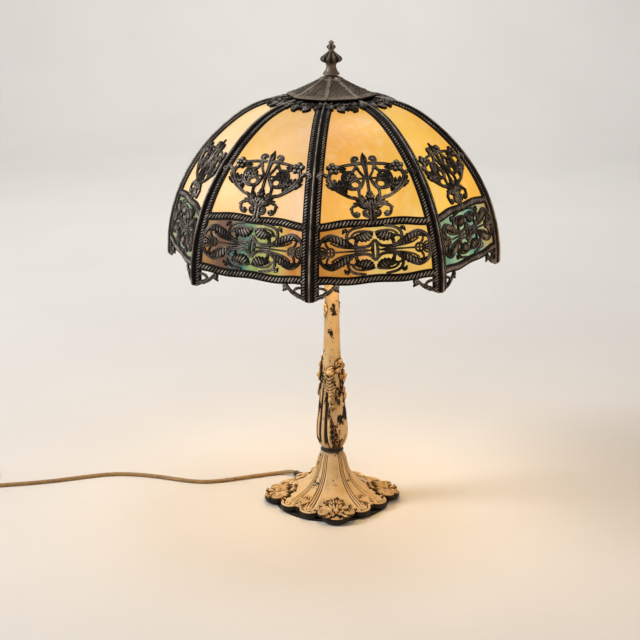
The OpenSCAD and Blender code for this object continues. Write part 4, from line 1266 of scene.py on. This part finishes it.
class LampCord(bpy.types.Operator):
    """Make the mains cord, its coil, its bushing and its plug"""
    bl_idname = "lamp.cord"
    bl_label = "Cord"

    def execute(self, context):
        cord, finish = context.scene.lamp_cord, context.scene.lamp_finish
        lead = spline(np.asarray(LEAD) * MM, 130)
        tail = spline(np.asarray(TAIL) * MM, 20)
        path = np.concatenate([lead[:-1], coil_route(cord), tail[2:]])
        piece = Pile().grid(sweep_tube(path, cord.diameter / 2)).make(
            "mains_cord", cord_finish(finish), "lamp", ["cord_lead", "cord_coil", "cord_tail"])
        make_plug(finish)
        make_bushing(moulded("black_bushing", (0.02, 0.015, 0.012)))
        return {"FINISHED"}


# Each pane's tints across its width, from its left edge to its right. The upper panes on the left, 7 and 8,
# are paler and creamier than 1 and 2 on the right: partly the glass's own variation, partly painted light
# falling from the left.
UPPER_TINTS = [
    [(0.0, (0.93, 0.44, 0.085)), (0.5, (0.95, 0.54, 0.09)), (1.0, (1.0, 0.76, 0.17))],
    [(0.0, (0.97, 0.58, 0.09)), (0.4, (0.93, 0.46, 0.045)), (1.0, (0.90, 0.46, 0.06))],
    [(0.0, (0.86, 0.48, 0.12)), (1.0, (0.88, 0.56, 0.24))],
    [(0.0, (0.88, 0.58, 0.28)), (1.0, (0.90, 0.55, 0.20))],
    [(0.0, (0.88, 0.56, 0.26)), (1.0, (0.88, 0.60, 0.33))],
    [(0.0, (0.86, 0.60, 0.34)), (1.0, (0.88, 0.56, 0.26))],
    # Panes 7 and 8, on the left: their pale cream is partly painted light from the left.
    [(0.0, (0.92, 0.66, 0.32)), (0.5, (0.92, 0.67, 0.42)), (1.0, (0.92, 0.66, 0.44))],
    [(0.0, (0.93, 0.55, 0.18)), (0.4, (0.86, 0.52, 0.25)), (1.0, (0.89, 0.61, 0.40))],
]
LOWER_TINTS = [
    [(0.0, (0.58, 0.19, 0.02)), (0.30, (0.62, 0.22, 0.03)), (0.42, (0.86, 0.42, 0.09)),
     (0.58, (0.74, 0.52, 0.13)), (0.72, (0.95, 0.58, 0.14)), (1.0, (0.97, 0.56, 0.10))],
    [(0.0, (0.20, 0.30, 0.14)), (0.28, (0.06, 0.34, 0.26)), (0.45, (0.34, 0.50, 0.22)),
     (0.62, (0.04, 0.30, 0.25)), (0.82, (0.50, 0.42, 0.14)), (1.0, (0.46, 0.24, 0.06))],
    [(0.0, (0.55, 0.22, 0.04)), (0.5, (0.75, 0.48, 0.10)), (1.0, (0.12, 0.26, 0.12))],
    [(0.0, (0.20, 0.28, 0.10)), (0.5, (0.45, 0.40, 0.10)), (1.0, (0.75, 0.40, 0.08))],
    [(0.0, (0.50, 0.16, 0.03)), (0.5, (0.80, 0.40, 0.08)), (1.0, (0.90, 0.55, 0.12))],
    [(0.0, (0.10, 0.24, 0.12)), (0.5, (0.55, 0.46, 0.10)), (1.0, (0.55, 0.22, 0.04))],
    [(0.0, (0.20, 0.25, 0.14)), (0.35, (0.26, 0.42, 0.24)), (0.6, (0.12, 0.26, 0.16)),
     (1.0, (0.36, 0.33, 0.14))],
    [(0.0, (0.42, 0.14, 0.045)), (0.14, (0.22, 0.11, 0.065)), (0.32, (0.15, 0.07, 0.05)),
     (0.42, (0.02, 0.15, 0.14)), (0.50, (0.12, 0.28, 0.15)), (0.60, (0.46, 0.46, 0.11)),
     (0.72, (0.66, 0.52, 0.14)), (0.84, (0.68, 0.24, 0.04)), (1.0, (0.92, 0.54, 0.20))],
]


def finish_node(name, material):
    """A frame node keeps its mesh and takes a new material."""
    node = bpy.data.objects[name]
    node.data.materials.clear()
    node.data.materials.append(material)


class LampGlass(bpy.types.Operator):
    """Give every pane its streaked, glowing glass"""
    bl_idname = "lamp.glass"
    bl_label = "Glass Panes"

    def execute(self, context):
        shade, finish = context.scene.lamp_shade, context.scene.lamp_finish
        for number, (upper, lower) in enumerate(zip(UPPER_TINTS, LOWER_TINTS), 1):
            for name, stops, *rest in (("upper_glass", upper, finish.glow, 0.5, 0.25, -0.25),
                                       ("lower_glass", lower, finish.glow * 0.9, 0.45, 0.30, 0.0)):
                name = f"{name}_{number}"
                finish_node(name, slag_glass(name, number, shade, stops, *rest))
        return {"FINISHED"}


class LampFiligree(bpy.types.Operator):
    """Make the pierced overlay of the eight panels"""
    bl_idname = "lamp.filigree"
    bl_label = "Pierced Overlays"

    def execute(self, context):
        shade = context.scene.lamp_shade
        sweep = Sweep(shade)
        material = shade_patina("cast_overlay", context.scene.lamp_finish)
        rails, vase, band = Flat(), Flat(1.18), Flat(1.22)
        for s, bend, reach in RAILS:
            rope_rail(rails, shade.rope_pitch, s, bend, reach)
        crest_fringe(rails)
        vase_ornament(vase)
        band_ornament(band)
        for number in range(1, PANELS + 1):
            pile = Pile()
            for flat, stretch in ((rails, 1.0), (vase, 0.98), (band, 0.955)):
                flat.onto(pile, sweep.on_panel(number), stretch)
            pile.make(f"pierced_overlay_{number}", material, "shade", [f"filigree_{number}"])
        return {"FINISHED"}


class LampRibs(bpy.types.Operator):
    """Make the eight cast ribs with their feet and brackets"""
    bl_idname = "lamp.ribs"
    bl_label = "Ribs"

    def execute(self, context):
        material = shade_patina("cast_rib", context.scene.lamp_finish)
        for number in range(1, PANELS + 1):
            make_rib(number, Sweep(context.scene.lamp_shade), material)
        return {"FINISHED"}


class LampCrown(bpy.types.Operator):
    """Make the crown and the finial"""
    bl_idname = "lamp.crown"
    bl_label = "Crown and Finial"

    def execute(self, context):
        material = patina("cast_pewter", (0.016, 0.011, 0.007), (0.135, 0.105, 0.078), (0.34, 0.28, 0.215),
                          (0.55, 1.10), 0.40)
        make_crown(Sweep(context.scene.lamp_shade), material)
        make_finial(material)
        return {"FINISHED"}


class LampStem(bpy.types.Operator):
    """Make the painted base and stem and the collar between them"""
    bl_idname = "lamp.stem"
    bl_label = "Base and Stem"

    def execute(self, context):
        finish = context.scene.lamp_finish
        make_base(context.scene.lamp_stem, painted("painted_base", finish, 0.735))
        make_stem(painted("painted_stem", finish, 0.665))
        make_collar(patina("collar_metal", (0.02, 0.015, 0.012), (0.12, 0.10, 0.085), (0.35, 0.31, 0.27)))
        return {"FINISHED"}


class LampLights(bpy.types.Operator):
    """Make the bulbs, their keys and the light that they throw"""
    bl_idname = "lamp.lights"
    bl_label = "Bulbs and Keys"

    def execute(self, context):
        glass = Shader("frosted_bulb", Roughness=0.35)
        metal = glass.relief()
        cloud = glass.noise(80.0, 2.0)
        warm = glass.mix(cloud * 0.3, (1.0, 0.78, 0.48), (1.0, 0.66, 0.34))
        glass.set(Base_Color=glass.mix(metal, warm, (0.55, 0.42, 0.22)), Metallic=metal,
                  Emission_Color=glass.mix(metal, warm, (0, 0, 0)), Emission_Strength=2.2,
                  Roughness=0.35 - metal * 0.05)
        bakelite = moulded("dark_bakelite", (0.035, 0.022, 0.015), 0.3)
        for number in SOCKETS:
            make_bulb(number, glass.material)
            make_key(number, bakelite)
        for side in (-1, 1):
            light = bpy.data.lights.new("glow", "POINT")
            light.energy, light.color, light.shadow_soft_size = 1.3, (1.0, 0.70, 0.32), 0.03
            placed("glow", light).location = (0, side * GLOW_REACH, CLUSTER_Z + GLOW_REACH)
        return {"FINISHED"}


class LampMetalwork(bpy.types.Operator):
    """Finish the plain metal, the felt and the ceramic"""
    bl_idname = "lamp.metalwork"
    bl_label = "Metalwork"

    def execute(self, context):
        brass = plain_metal("aged_brass", (0.60, 0.44, 0.18))
        steel = plain_metal("plain_steel", (0.42, 0.42, 0.43), 0.4)
        for name in ("glass_clips", "spider_plate", "cluster_body", "riser_rod", "center_pipe"):
            finish_node(name, brass)
        for name in ("seat_washer", "bottom_nut"):
            finish_node(name, steel)
        ceramic = moulded("glazed_ceramic", (0.72, 0.68, 0.58), 0.2, 0.05)
        for number in SOCKETS:
            for part, material in (("cap", brass), ("shell", brass), ("core", ceramic)):
                finish_node(f"socket_{part}_{number}", material)
        finish_node("felt_pad", felted("green_felt", (0.010, 0.012, 0.009)))
        return {"FINISHED"}


class LampPanel(bpy.types.Panel):
    """Lists the lamp's steps in the sidebar"""
    bl_idname = "VIEW3D_PT_lamp"
    bl_label = "Bent-Panel Table Lamp"
    bl_space_type = "VIEW_3D"
    bl_region_type = "UI"
    bl_category = "Lamp"

    def draw(self, context):
        for step in STEPS:
            self.layout.operator(step.bl_idname)
        for name in SETTINGS:
            group = getattr(context.scene, name)
            box = self.layout.box()
            for key in group.__annotations__:
                box.prop(group, key)


STEPS = (LampStage, LampCord, LampGlass, LampRibs, LampFiligree, LampCrown, LampStem, LampLights,
         LampMetalwork)
SETTINGS = {"lamp_shade": LampShadeSettings, "lamp_stem": LampStemSettings, "lamp_cord": LampCordSettings,
            "lamp_finish": LampFinishSettings, "lamp_view": LampViewSettings}


def register():
    for name, group in SETTINGS.items():
        bpy.utils.register_class(group)
        setattr(bpy.types.Scene, name, PointerProperty(type=group))
    for step in (*STEPS, LampPanel):
        bpy.utils.register_class(step)


def unregister():
    for step in (*STEPS, LampPanel):
        bpy.utils.unregister_class(step)
    for name, group in SETTINGS.items():
        delattr(bpy.types.Scene, name)
        bpy.utils.unregister_class(group)


def main():
    """Register the add-on and run every step."""
    register()
    for step in STEPS:
        group, name = step.bl_idname.split(".")
        getattr(getattr(bpy.ops, group), name)()


if __name__ == "__main__":
    main()
